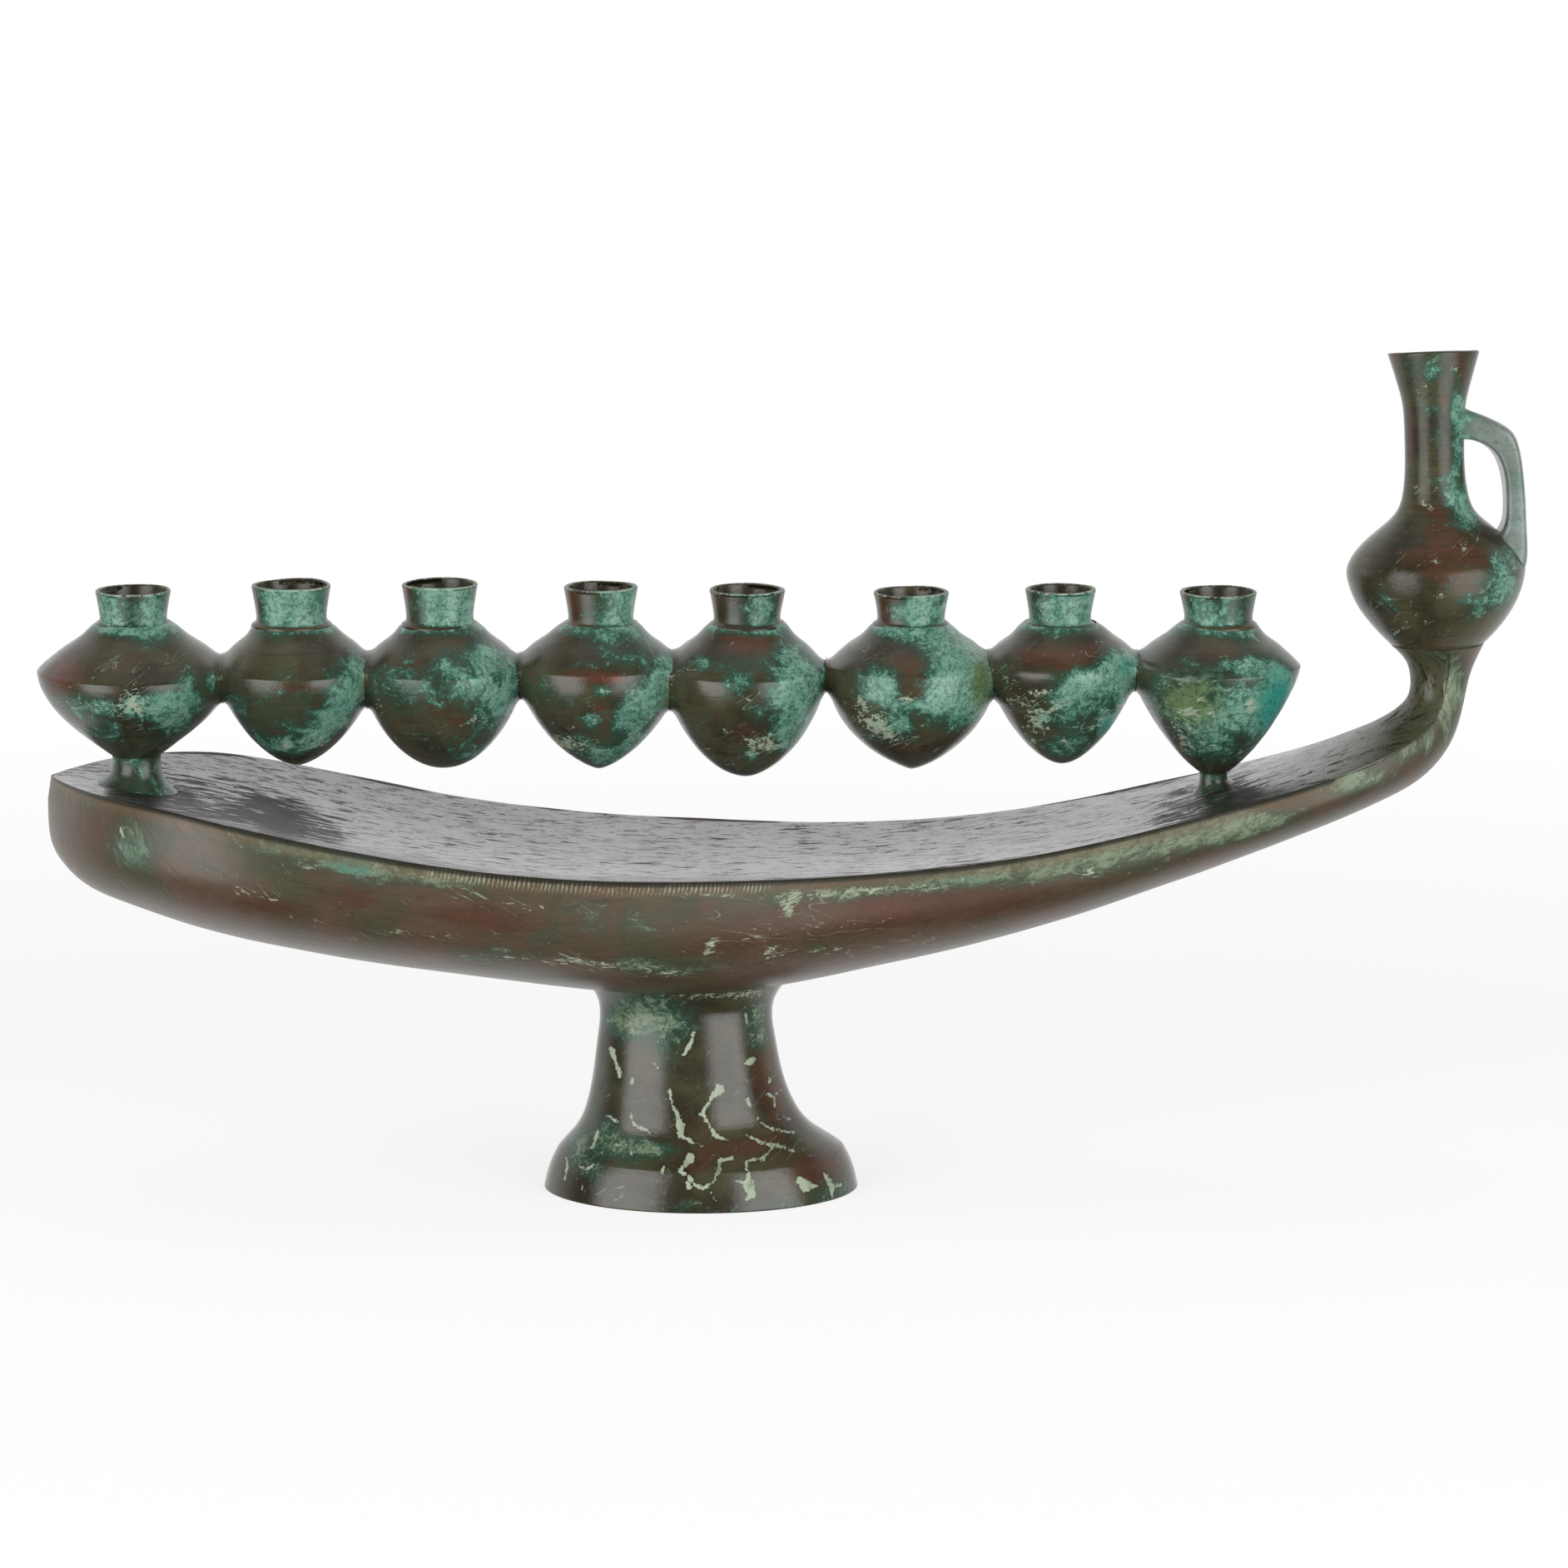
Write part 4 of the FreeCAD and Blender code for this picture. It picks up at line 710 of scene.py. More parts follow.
class UrnForm:
    """One urn of the row, with its place and its own shape."""

    def __init__(self, row, sizes):
        (place, radius, depth, shoulder, shoulder_power, belly_power, roundness,
         neck_height, neck_width, neck_offset) = row
        self.x = sizes.first + place * sizes.row_length
        self.radius, self.depth = radius * sizes.radius, depth * sizes.belly
        self.shoulder = shoulder * sizes.shoulder
        self.z = sizes.row - self.shoulder
        self.shoulder_power, self.belly_power, self.roundness = shoulder_power, belly_power, roundness
        self.neck_height, self.neck_width = neck_height * sizes.neck, neck_width
        self.neck_x = self.x + neck_offset * sizes.base
        self.seat = sizes.seat

    def radius_at(self, height):
        """Radius at a height from the widest level: a shoulder that falls off as a power and runs in
        hollow, by 0.5 mm, before the seat; and a belly whose fall is raised to its roundness."""
        up = np.clip(height / self.shoulder, 0, 1)
        down = np.clip(-height / self.depth, 0, 1)
        shoulder = self.seat + (self.radius - self.seat) * (1 - up ** self.shoulder_power)
        shoulder = shoulder - 0.5 * MM * np.sin(math.pi * np.clip((up - 0.45) / 0.5, 0, 1)) ** 2
        belly = self.radius * (1 - down ** self.belly_power) ** self.roundness
        return np.where(height > 0, shoulder, belly)

    def stem_level(self, radius):
        """The height above the table where the belly has narrowed to its stem."""
        fall = 1 - (radius / self.radius) ** (1 / self.roundness)
        return self.z - self.depth * fall ** (1 / self.belly_power)

    def height_over(self, points):
        """How far points lie outside this urn's surface, about: the excess of their radius, times the
        slope's cosine."""
        height, step = points[..., 2] - self.z, 2e-4
        away = np.hypot(points[..., 0] - self.x, points[..., 1])
        slope = (self.radius_at(height + step) - self.radius_at(height - step)) / (2 * step)
        return (away - self.radius_at(height)) / np.sqrt(1 + slope ** 2)


def brazed(points, normals, own, other, side, reach):
    """Draws a surface out towards its neighbour as solder does, and ends it at their meeting plane. The
    rise is reach/4·h² with h falling from 1 at the neighbour's skin to 0 at the reach."""
    plane = (own.x + other.x) / 2 + (own.radius ** 2 - other.radius ** 2) / (2 * (other.x - own.x))
    gap = other.height_over(points)
    share = np.clip(1 - gap / reach, 0, 1)
    pull = normals * (1 - share[..., None] / 2) + normals * (-1, 1, 1) * share[..., None] / 2
    rise = reach / 4 * share ** 2 / np.maximum((pull ** 2).sum(axis=-1), 0.12)
    moved = points + pull * rise[..., None] * (gap > -reach)[..., None]
    past = side * (moved[..., 0] - plane) > 5e-5
    moved[..., 0] = np.where(past, np.clip(moved[..., 0], plane - 6e-4, plane + 6e-4), moved[..., 0])
    return moved


# Places of the urns' patina, seen from the front, in hundredths, with one list for each urn: X and Z from the
# middle of its widest level and half widths, as shares of its radius, and weight. Tone is brighter where
# positive and yellower where negative.
# Some green spots lie where the light panels' highlights fall, left and right of the middle near the widest level, such
# as (-50, -10) and (38, -5) on the third urn, (42, -20) on the fifth, (-38, -11) on the sixth and (26, -11) on the
# seventh: partly pale verdigris, partly a painted highlight.
URN_GREEN = [
    [(5, 55, 35, 5, 90), (18, 44, 20, 9, 70), (30, -22, 20, 10, 100), (51, -27, 15, 15, 90), (62, -8, 7, 12, 80),
     (42, -48, 12, 12, 70), (-29, -22, 35, 8, 75), (-30, -50, 30, 16, 50), (83, 0, 5, 8, 80)],
    [(79, 0, 10, 18, 100), (68, -23, 12, 15, 100), (86, -15, 8, 25, 100), (48, -51, 14, 12, 100),
     (62, -62, 12, 10, 70), (0, -88, 25, 9, 80), (30, -75, 15, 12, 70), (-73, -36, 20, 30, 35),
     (-35, -85, 20, 15, 30), (-6, -50, 40, 30, 30), (55, -10, 20, 20, 50)],
    [(70, -33, 18, 25, 110), (59, 20, 14, 16, 80), (38, -5, 18, 18, 70), (45, 25, 15, 10, 50),
     (-50, -10, 28, 22, 55), (0, -5, 15, 20, 40), (30, -88, 30, 14, 40), (-10, -75, 20, 10, 10),
     (40, -100, 25, 5, 80), (85, 0, 6, 30, 70), (10, 20, 10, 10, 50)],
    [(27, 38, 30, 10, 60), (30, 20, 25, 8, 50), (81, -5, 12, 20, 110), (60, -30, 18, 20, 100),
     (45, -40, 12, 12, 90), (40, -60, 18, 15, 90), (20, -108, 28, 13, 110), (50, -90, 15, 12, 90),
     (7, -16, 8, 5, 100), (-5, -55, 8, 10, 80), (85, -45, 7, 20, 80), (-55, -25, 25, 25, 25),
     (-27, -84, 15, 10, 50), (88, 20, 8, 10, 60)],
    [(65, 23, 22, 18, 100), (73, -13, 20, 22, 110), (58, -56, 20, 20, 110), (52, -82, 12, 10, 90),
     (42, -20, 12, 15, 70), (-6, 0, 14, 10, 80), (-51, 20, 8, 6, 60), (20, 57, 15, 5, 90), (6, -93, 6, 8, 90),
     (-20, 20, 30, 6, 40), (12, -40, 10, 10, 50)],
    [(57, 16, 30, 20, 110), (44, -15, 22, 18, 110), (82, -11, 14, 30, 100), (57, -50, 25, 15, 80),
     (30, 40, 20, 12, 80), (-38, -11, 18, 14, 75), (-18, -56, 15, 12, 100), (-4, -32, 16, 5, 90),
     (25, -35, 10, 8, 80), (-25, 45, 15, 10, 60), (-50, -70, 25, 15, 40), (-42, -8, 16, 14, 90)],
    [(26, -11, 22, 12, 110), (81, 8, 15, 16, 100), (74, -23, 16, 25, 110), (5, -44, 18, 25, 80),
     (57, -74, 12, 15, 110), (12, -100, 25, 15, 70), (35, -40, 15, 15, 70), (60, 10, 15, 8, 70),
     (-10, -30, 15, 20, 40), (45, -2, 25, 14, 70)],
    [(66, -52, 22, 35, 130), (30, -35, 20, 30, 80), (-14, -67, 20, 25, 80), (22, 13, 20, 6, 70),
     (50, 10, 15, 6, 60), (10, -95, 15, 15, 60), (75, -15, 12, 15, 120), (-35, -30, 30, 30, 110),
     (30, 42, 10, 5, 50)],
]
URN_WARM = [
    [(-62, 10, 18, 14, 90), (-75, -5, 12, 15, 70), (0, 20, 20, 12, 50), (-10, -38, 20, 6, 40), (35, 30, 20, 10, 30)],
    [(14, -8, 22, 5, 100), (-20, -7, 15, 4, 60), (-10, -60, 30, 10, 25)],
    [(1, -29, 10, 11, 150), (-44, 18, 20, 6, 80), (25, -53, 14, 9, 80), (25, 15, 10, 10, 60), (20, 37, 10, 5, 60),
     (-10, 30, 40, 15, 30), (10, -72, 15, 6, 50)],
    [(-3, 1, 30, 6, 110), (25, -2, 15, 5, 80), (69, 15, 8, 10, 110), (9, -60, 8, 12, 100), (3, -42, 8, 12, 70),
     (20, -45, 12, 8, 50), (-35, 35, 30, 15, 50), (-75, -5, 6, 15, 40)],
    [(8, 40, 30, 10, 80), (-25, 50, 25, 10, 50), (-88, 27, 8, 8, 80), (2, -60, 15, 10, 80), (20, -8, 10, 10, 50),
     (30, 45, 20, 8, 50), (10, -105, 30, 12, 40), (-60, -100, 10, 10, 40)],
    [(7, 12, 22, 8, 120), (0, -14, 18, 12, 100), (-65, -10, 15, 20, 60), (-25, 35, 20, 20, 50),
     (20, -50, 15, 8, 40), (0, -92, 25, 10, 60), (-72, -50, 8, 15, 50)],
    [(-8, 25, 30, 10, 100), (15, 12, 20, 6, 70), (-45, 20, 15, 10, 50), (50, -33, 12, 6, 80), (-70, -70, 8, 20, 60),
     (15, -28, 15, 6, 40), (35, 30, 15, 8, 60), (-30, -100, 20, 15, 40)],
    [(-4, 25, 15, 6, 70), (-60, 30, 25, 12, 50), (30, 22, 12, 5, 70), (40, -10, 15, 8, 40), (-75, -60, 10, 30, 60),
     (-35, -105, 20, 10, 50), (5, 2, 30, 3, 60)],
]
URN_PALE = [
    [(-25, -22, 28, 10, 90), (8, -12, 12, 20, 90), (-35, 22, 15, 8, 60), (-13, 20, 6, 5, 90), (12, -47, 10, 4, 100),
     (49, 22, 12, 5, 60), (84, -3, 5, 10, 80), (40, -55, 12, 10, 60), (45, -25, 25, 12, 50), (-70, -28, 15, 6, 50),
     (30, -75, 20, 10, 40)],
    [(-13, -86, 8, 6, 100), (28, -77, 8, 12, 100), (45, -84, 8, 6, 90), (25, -110, 15, 6, 70),
     (-83, -55, 4, 14, 110), (-70, -80, 5, 12, 80), (50, -52, 8, 5, 80), (10, -90, 15, 5, 80),
     (-30, -50, 15, 10, 30), (10, -120, 25, 5, 50)],
    [(41, -49, 5, 6, 140), (-75, -35, 10, 20, 80), (-62, -75, 8, 12, 70), (31, -93, 14, 5, 90), (0, -75, 10, 5, 60),
     (15, 20, 12, 6, 50), (90, -10, 5, 15, 70), (70, -20, 10, 10, 50), (-30, -100, 20, 10, 40),
     (50, -5, 15, 15, 40)],
    [(-27, -85, 28, 10, 110), (-50, -95, 12, 10, 100), (-81, -50, 5, 12, 100), (7, -16, 8, 4, 120),
     (-10, -30, 5, 8, 80), (0, -52, 8, 6, 90), (20, 0, 10, 4, 80), (35, -12, 15, 5, 60), (20, 35, 25, 12, 60),
     (50, -75, 12, 8, 50), (-30, -105, 20, 8, 70), (-35, -65, 10, 6, 60), (45, -10, 10, 10, 40)],
    [(19, -72, 18, 10, 130), (30, -85, 12, 8, 100), (5, -20, 10, 14, 80), (-86, -10, 6, 20, 90),
     (-72, 12, 10, 8, 90), (-57, -95, 12, 10, 70), (-20, -115, 30, 6, 60), (-24, -63, 6, 6, 80),
     (6, -93, 6, 8, 100), (-36, 45, 6, 5, 80), (-15, 40, 5, 4, 60), (-45, -60, 15, 8, 40)],
    [(-52, -48, 20, 16, 110), (-40, -65, 15, 12, 100), (-10, -76, 15, 8, 100), (22, -93, 14, 5, 90),
     (-60, -30, 6, 6, 100), (0, -22, 10, 8, 80), (-12, -27, 10, 5, 100), (15, -57, 6, 5, 90), (-20, 45, 12, 8, 70),
     (-55, 22, 8, 5, 70), (72, -40, 8, 10, 70), (45, -75, 15, 6, 50), (30, -112, 6, 4, 60)],
    [(-63, -32, 16, 15, 100), (-72, -8, 8, 5, 100), (-37, -65, 14, 18, 110), (-20, -45, 15, 20, 80),
     (38, -68, 15, 10, 90), (0, -88, 6, 5, 100), (-35, -20, 6, 3, 110), (-22, -19, 6, 3, 110), (0, -33, 5, 5, 100),
     (-40, -95, 6, 6, 90), (30, 25, 15, 8, 50), (13, -128, 5, 5, 70), (55, -50, 10, 8, 70)],
    [(-20, -26, 8, 3, 130), (-8, -42, 4, 4, 130), (-30, -42, 12, 5, 110), (-45, -60, 12, 20, 90),
     (-40, -88, 12, 10, 90), (-10, -80, 20, 15, 70), (15, -15, 15, 10, 60), (35, -35, 5, 8, 110),
     (55, -50, 15, 30, 60), (30, -100, 15, 15, 70), (-45, -10, 10, 5, 70), (5, 22, 6, 3, 100), (28, 15, 10, 4, 80),
     (-80, -30, 8, 20, 40)],
]
URN_TONE = [
    [(40, -30, 15, 15, 30)],
    [(60, -35, 20, 25, 40), (86, -15, 8, 25, -70)],
    [(72, -35, 12, 20, 40)],
    [(86, -45, 8, 25, -80)],
    [(85, 10, 10, 15, 40), (80, 0, 10, 20, -50)],
    [(82, -11, 12, 30, -90)],
    [(58, -76, 10, 14, 100), (80, 5, 12, 12, 60), (95, -20, 6, 30, -70)],
    [(70, -45, 20, 40, 100), (-35, -25, 30, 30, -100)],
]
# The same for the necks: X as a share of the rim's radius, and Z as a share of the neck's height.
NECK_GREEN = [
    [(-55, 50, 35, 90, 110), (60, 50, 35, 90, 110)],
    [(-35, 50, 30, 90, 120), (50, 50, 50, 90, 120)],
    [(0, 60, 50, 90, 120), (60, 40, 35, 80, 100)],
    [(70, 50, 32, 90, 130), (0, 50, 40, 90, 30)],
    [(45, 50, 30, 90, 90), (-20, 30, 30, 40, 40)],
    [(40, 50, 50, 90, 130), (-10, 30, 30, 40, 40)],
    [(10, 50, 70, 90, 140), (80, 50, 20, 80, 60)],
    [(20, 50, 70, 90, 70), (-60, 40, 30, 60, 50)],
]
NECK_WARM = [
    [(0, 50, 25, 90, 40)],
    [(-85, 50, 20, 90, 100), (15, 50, 20, 80, 70)],
    [(-80, 50, 22, 90, 100)],
    [(-75, 50, 25, 90, 100)],
    [(-85, 50, 20, 90, 70)],
    [(-65, 50, 25, 90, 100)],
    [(-80, 50, 20, 90, 70)],
    [(-90, 50, 15, 90, 50)],
]
NECK_PALE = [
    [(70, 70, 20, 30, 40)],
    [(70, 60, 20, 40, 50)],
    [(20, 80, 40, 20, 60)],
    [(75, 60, 15, 40, 50)],
    [(40, 80, 30, 20, 60)],
    [(-50, 50, 20, 30, 90), (40, 80, 30, 20, 50)],
    [(-50, 60, 20, 30, 100), (30, 70, 30, 30, 50)],
    [(20, 60, 50, 40, 30)],
]
URN_SIDES, NECK_SIDES, STEM_SIDES = 220, 140, 96
CREASED = 7
# The necks' rims get strong pale crust: partly crust, partly a painted reflection of the white surroundings on their
# rounded tops.
ROW_DARK, ROW_WARM, RIM_PALE_AND_SHEEN = -0.6, 0.3, 1.3


def urn_masks(rings, middle, size, k, tables):
    """The masks of one urn or neck, with its own spots on its front and another urn's on its back: each
    adds its weight times exp(-d²/2), with the distance d counted in half widths."""
    across, up = (rings[..., 0] - middle[0]) / size[0], (rings[..., 2] - middle[1]) / size[1]
    back = np.clip(rings[..., 1] / size[0] + 0.5, 0, 1)
    masks = []
    for table in tables:
        total = np.zeros(across.shape)
        for owner, share, way in ((k, 1 - back, 1), ((k + 3) % len(URNS), back, -1)):
            for x, z, wide, high, weight in np.array(table[owner]) / 100:
                total += share * weight * np.exp(-0.5 * (((way * across - x) / wide) ** 2 + ((up - z) / high) ** 2))
        masks.append(total)
    return masks


class LAMP_OT_urns(bpy.types.Operator):
    """Builds the eight urns, each in its own shape and brazed to its neighbours, with their necks"""
    bl_idname = "lamp.urns"
    bl_label = "Urns"

    def execute(self, context):
        sizes = context.scene.lamp_urns
        urns = [UrnForm(row, sizes) for row in URNS]
        for k in range(len(urns)):
            self.body(urns, k, sizes, finish(context, "urn"))
            self.neck(urns[k], k, sizes, finish(context, "neck"))
        return {"FINISHED"}

    def body(self, urns, k, sizes, material):
        """Outer skin from the tip up to the seat, over the edge of the bore, and the inside down to its
        floor."""
        urn = urns[k]
        drop = np.cos(np.linspace(0.02, math.pi / 2, 96))
        heights = np.r_[-urn.depth * drop, urn.shoulder * np.sin(np.linspace(0, math.pi / 2, 50))[1:]]
        inside = np.linspace(urn.shoulder - 0.0012, -urn.depth * 0.82, 24)
        hollow = np.maximum(urn.radius_at(inside) - sizes.wall, 0.0006)
        hollow[0] = sizes.bore + 0.0006
        rings = turned(np.stack([np.r_[urn.radius_at(heights), hollow], np.r_[heights, inside]], axis=1), URN_SIDES)
        count = len(heights)
        rings[:, :, 0] += (urn.neck_x - urn.x) * np.clip(rings[..., 2] / urn.shoulder * 2.2 - 1.2, 0, 1) ** 2
        rings += (urn.x, 0, urn.z)
        normals = outward(rings)[:count]
        out = worn(rings[:count], ((0.02, 20 + k, 0.00020), (0.006, 120 + k, 0.00003)), normals)
        if k == CREASED:
            across, up = (out[..., 0] - urn.x) / urn.radius, (out[..., 2] - urn.z) / urn.radius
            crease = bump_at(up, 0.03 + 0.035 * np.sin(5 * across) - 0.02 * across, 0.018)
            crease = crease * (out[..., 1] < 0) * np.clip((1 - np.abs(across)) * 8, 0, 1)
            out = out - normals * (0.00026 * crease)[..., None]
        for side in (-1, 1):
            if 0 <= k + side < len(urns):
                out = brazed(out, normals, urn, urns[k + side], side, sizes.braze)
        rings = np.concatenate([out, rings[count:]])
        # The green mask also carries the painted highlights of a few spots in URN_GREEN.
        masks = urn_masks(rings, (urn.x, urn.z), (urn.radius, urn.radius), k, (URN_GREEN, URN_WARM, URN_PALE, URN_TONE))
        masks[0] += 0.85 * bump_at(rings[..., 2], sizes.row, 0.0018)
        masks[0][count + 1:] = ROW_DARK
        skin(f"urn_{k + 1}_skin", rings, (f"urn_{k + 1}_body",), "urn_brass", material, masks)

    def neck(self, urn, k, sizes, material):
        """The flared collar: foot fillet, slightly hollow outer side, rounded rim, and a bore that narrows
        down to the spigot."""
        rim, base, bore = (size * urn.neck_width for size in (sizes.rim, sizes.base, sizes.bore))
        top, half = urn.neck_height, sizes.lip / 2
        rise, turn = np.linspace(0, 1, 22), np.linspace(0, math.pi, 9)
        side = np.stack([base + (rim - base) * (0.72 * rise + 0.28 * rise ** 2) + 0.0004 * np.exp(-rise / 0.08),
                         0.0003 + (top - 0.0008) * rise], axis=1)
        lip = np.stack([rim - half + half * np.cos(turn), top - half + half * np.sin(turn)], axis=1)
        inside = np.stack([np.linspace(rim - sizes.lip, bore, 12), np.linspace(top - half, -0.002, 12)], axis=1)
        foot = np.array([(bore + 0.0006, -0.002), (base + 0.0016, -0.0008), (base + 0.0012, -0.0002)])
        rings = turned(np.vstack([side, lip, inside, foot]), NECK_SIDES) + (urn.neck_x, 0, sizes.row)
        above = np.clip((rings[..., 2] - sizes.row) / 0.004, 0, 1)
        rings[..., 2] += uneven(rings, 0.018, 40 + k) * 0.00014 * above
        rings = worn(rings, ((0.014, 60 + k, 0.00012),), outward(rings, True))
        masks = urn_masks(rings, (urn.neck_x, sizes.row), (rim, top), k, (NECK_GREEN, NECK_WARM, NECK_PALE))
        lip_row = len(side)
        masks[0][lip_row + 6:], masks[1][lip_row + 6:] = ROW_DARK, ROW_WARM
        # Pale crust on the rounded rim, partly a painted reflection.
        masks[2][lip_row + 1:lip_row + 7] = RIM_PALE_AND_SHEEN
        skin(f"urn_{k + 1}_collar", rings, (f"urn_{k + 1}_neck",), "neck_brass", material, masks, looped=True)


class LAMP_OT_stems(bpy.types.Operator):
    """Builds the two stems that carry the row, each drawn out into its urn and into the deck"""
    bl_idname = "lamp.stems"
    bl_label = "Stems"

    def execute(self, context):
        sizes, stems = context.scene.lamp_urns, context.scene.lamp_stems
        arc = HullForm(context.scene).deck_arc(np.zeros((1, 1)))[:, 0]
        arc = arc[np.argsort(arc[:, 0])]
        for row, name, radius, flare in ((URNS[0], "bow_urn_stem", stems.bow_radius, stems.bow_flare),
                                         (URNS[-1], "tail_urn_stem", stems.tail_radius, stems.tail_flare)):
            urn = UrnForm(row, sizes)
            top = urn.stem_level(radius)
            deck, beyond = np.interp((urn.x, urn.x + 0.004), arc[:, 0], arc[:, 2])
            waist, knee = top - stems.collar, deck + (top - stems.collar - deck) * 0.4
            line = smooth_line([(flare * 1.04, deck - 0.0003), (flare * 0.86, deck + (knee - deck) * 0.3),
                                (radius + (flare - radius) * 0.22, knee), (radius, waist),
                                (radius * 1.05, top + 0.0003), (radius * 1.22, top + 0.0012)], 44)
            foot = np.array([(0.0012, line[0, 1] - 0.001), (flare * 0.8, line[0, 1] - 0.0008)])
            crown = np.array([(radius, line[-1, 1] + 0.0005), (0.0012, line[-1, 1] + 0.0006)])
            rings = turned(np.vstack([foot, line, crown]), STEM_SIDES) + (urn.x, 0, 0)
            low = np.clip((waist - rings[..., 2]) / max(waist - deck, 1e-4), 0, 1)
            rings[..., 2] += (beyond - deck) / 0.004 * (rings[..., 0] - urn.x) * low
            skin(name + "_skin", rings, (name,), "urn_brass", finish(context, "urn"), (0.45, 0, 0.09))
        return {"FINISHED"}


# Jug

def jug_frame(scene):
    """The jug's foot and its leaning axes: the upright axis tips to the bow and away from the front."""
    sizes = scene.lamp_jug
    foot = np.insert(hull_point(scene, *TAIL_ROUNDS[-1, :2]), 1, 0)
    up = np.array([-math.tan(math.radians(sizes.lean)), math.tan(math.radians(sizes.lean_back)), 1.0])
    up /= np.linalg.norm(up)
    turn = np.cross((0, 0, 1), up)
    sine, cosine = np.linalg.norm(turn), up[2]
    axis = turn / sine
    cross = np.array([[0, -axis[2], axis[1]], [axis[2], 0, -axis[0]], [-axis[1], axis[0], 0]])
    return foot, np.eye(3) + sine * cross + (1 - cosine) * cross @ cross


# Places of the jug's patina, in the same way as the hull's.
JUG_GREEN = [
    (181, -5, 167, 2.6, 2, 1), (183, -7, 164, 2.3, 1.6, 0.9), (173, -6, 168, 1.3, 1, 0.7),
    (191, -14, 152, 3.6, 4, 0.5), (182, -18, 146, 2, 1.3, 1), (188, -15, 146, 2.6, 2, 0.8),
    (184, -16, 143, 2, 1, 0.8), (191, -13, 147, 2, 2, 0.7), (184, -7, 132, 1.6, 2, 0.9),
    (190, -14, 153, 3.4, 3.6, 0.8), (177, -10, 129, 7, 1.6, 0.7), (175, -20, 148, 1.3, 1.3, 0.6),
    (160, -12, 149, 3.9, 3.3, 0.35), (163, -14, 145, 2, 2, 0.6), (166, -11, 159, 2, 1, 0.5),
    (193, -5, 157, 2.6, 2, 0.5), (173, -6, 200, 4.5, 2.6, 0.6), (173, -5, 199, 1.6, 1.6, 0.5),
    (180, -2, 191, 1.6, 2.1, 0.9), (180, -3, 188, 1.6, 3.2, 0.9), (175, -4, 184, 1.1, 2.1, 0.6),
    (178, -5, 172, 2.1, 1.6, 0.9), (180, -5, 169, 2.1, 1.6, 1.1), (175, -4, 190, 1.3, 1.3, 0.6),
    (172, -3, 190, 1.6, 1.6, 0.4), (181, -1, 181, 1.1, 1.6, 0.8), (180, -3, 177, 1.1, 2.6, 0.8),
    (181, -3, 184, 2.4, 12, 0.45),
]
JUG_WARM = [
    (176, -10, 163, 3.9, 3.3, 0.7), (179, -16, 158, 4.9, 2.6, 0.8), (168, -15, 157, 4.9, 2, 0.7),
    (176, -20, 153, 4.9, 1.3, 0.8), (171, -18, 144, 4.9, 3.9, 0.4), (157, -6, 154, 2, 2, 0.6),
    (175, -12, 135, 3.9, 1.3, 0.5), (186, -16, 156, 2.6, 2, 0.7), (180, -20, 150, 3.3, 1, 0.8),
    (177, -4, 191, 0.8, 1.8, 1.6), (180, -5, 202, 1.6, 1.6, 1), (165, -1, 202, 1.6, 1.1, 0.7),
    (169, 0, 185, 0.8, 5.3, 0.6), (178, -4, 178, 0.5, 1.6, 0.6), (181, -3, 198, 0.8, 2.1, 0.8),
    (174, -7, 167, 4, 1.1, 0.8), (169, -1, 179, 1.1, 4, 0.5),
]
JUG_PALE = [
    (173, -6, 167, 2, 1.3, 0.4), (174, -10, 163, 1, 1, 0.8), (166, -12, 159, 2, 1.6, 0.7),
    (174, -18, 156, 1, 0.5, 1.4), (177, -19, 156, 0.4, 0.4, 1.3), (181, -15, 159, 1, 1, 0.9),
    (183, -11, 161, 1.3, 1, 0.8), (181, -16, 158, 2, 1, 0.7), (175, -20, 148, 1.3, 1.3, 1.2),
    (165, -16, 149, 4, 3, 0.3), (160, -11, 146, 3, 3, 0.45), (163, -13, 143, 3, 3, 0.5),
    (166, -13, 140, 1.6, 2, 0.5), (167, -10, 136, 1, 1.3, 0.6), (181, -19, 149, 2.6, 0.7, 0.7),
    (186, -15, 143, 2.6, 1, 0.9), (183, -18, 146, 1.6, 1, 0.7), (190, -14, 146, 2, 1, 0.7),
    (177, -15, 139, 0.5, 0.5, 1.2), (172, -16, 141, 0.7, 0.7, 1.1), (176, -17, 141, 2, 0.5, 0.7),
    (193, -12, 150, 2, 1, 0.5), (169, -9, 135, 1.3, 1, 0.6), (172, -4, 196, 0.8, 0.8, 1.2),
    (170, -3, 194, 1.1, 0.8, 0.9), (179, -5, 200, 1.1, 0.8, 1.1), (174, -6, 202, 1.1, 0.8, 0.8),
    (170, -2, 172, 0.4, 1.1, 1), (171, -3, 171, 0.5, 0.8, 1.1), (172, -5, 168, 0.6, 0.5, 1.2),
    (174, -6, 167, 1.4, 0.9, 0.6), (175, -5, 171, 1.1, 1.1, 1), (173, -4, 193, 1.6, 1.6, 0.5),
    (174, -4, 185, 1.1, 1.6, 0.4), (180, -2, 194, 0.8, 0.5, 0.8),
]
JUG_SIDES, STRAP_SIDES, STRAP_RINGS = 200, 56, 90
SQUARISH = 0.42


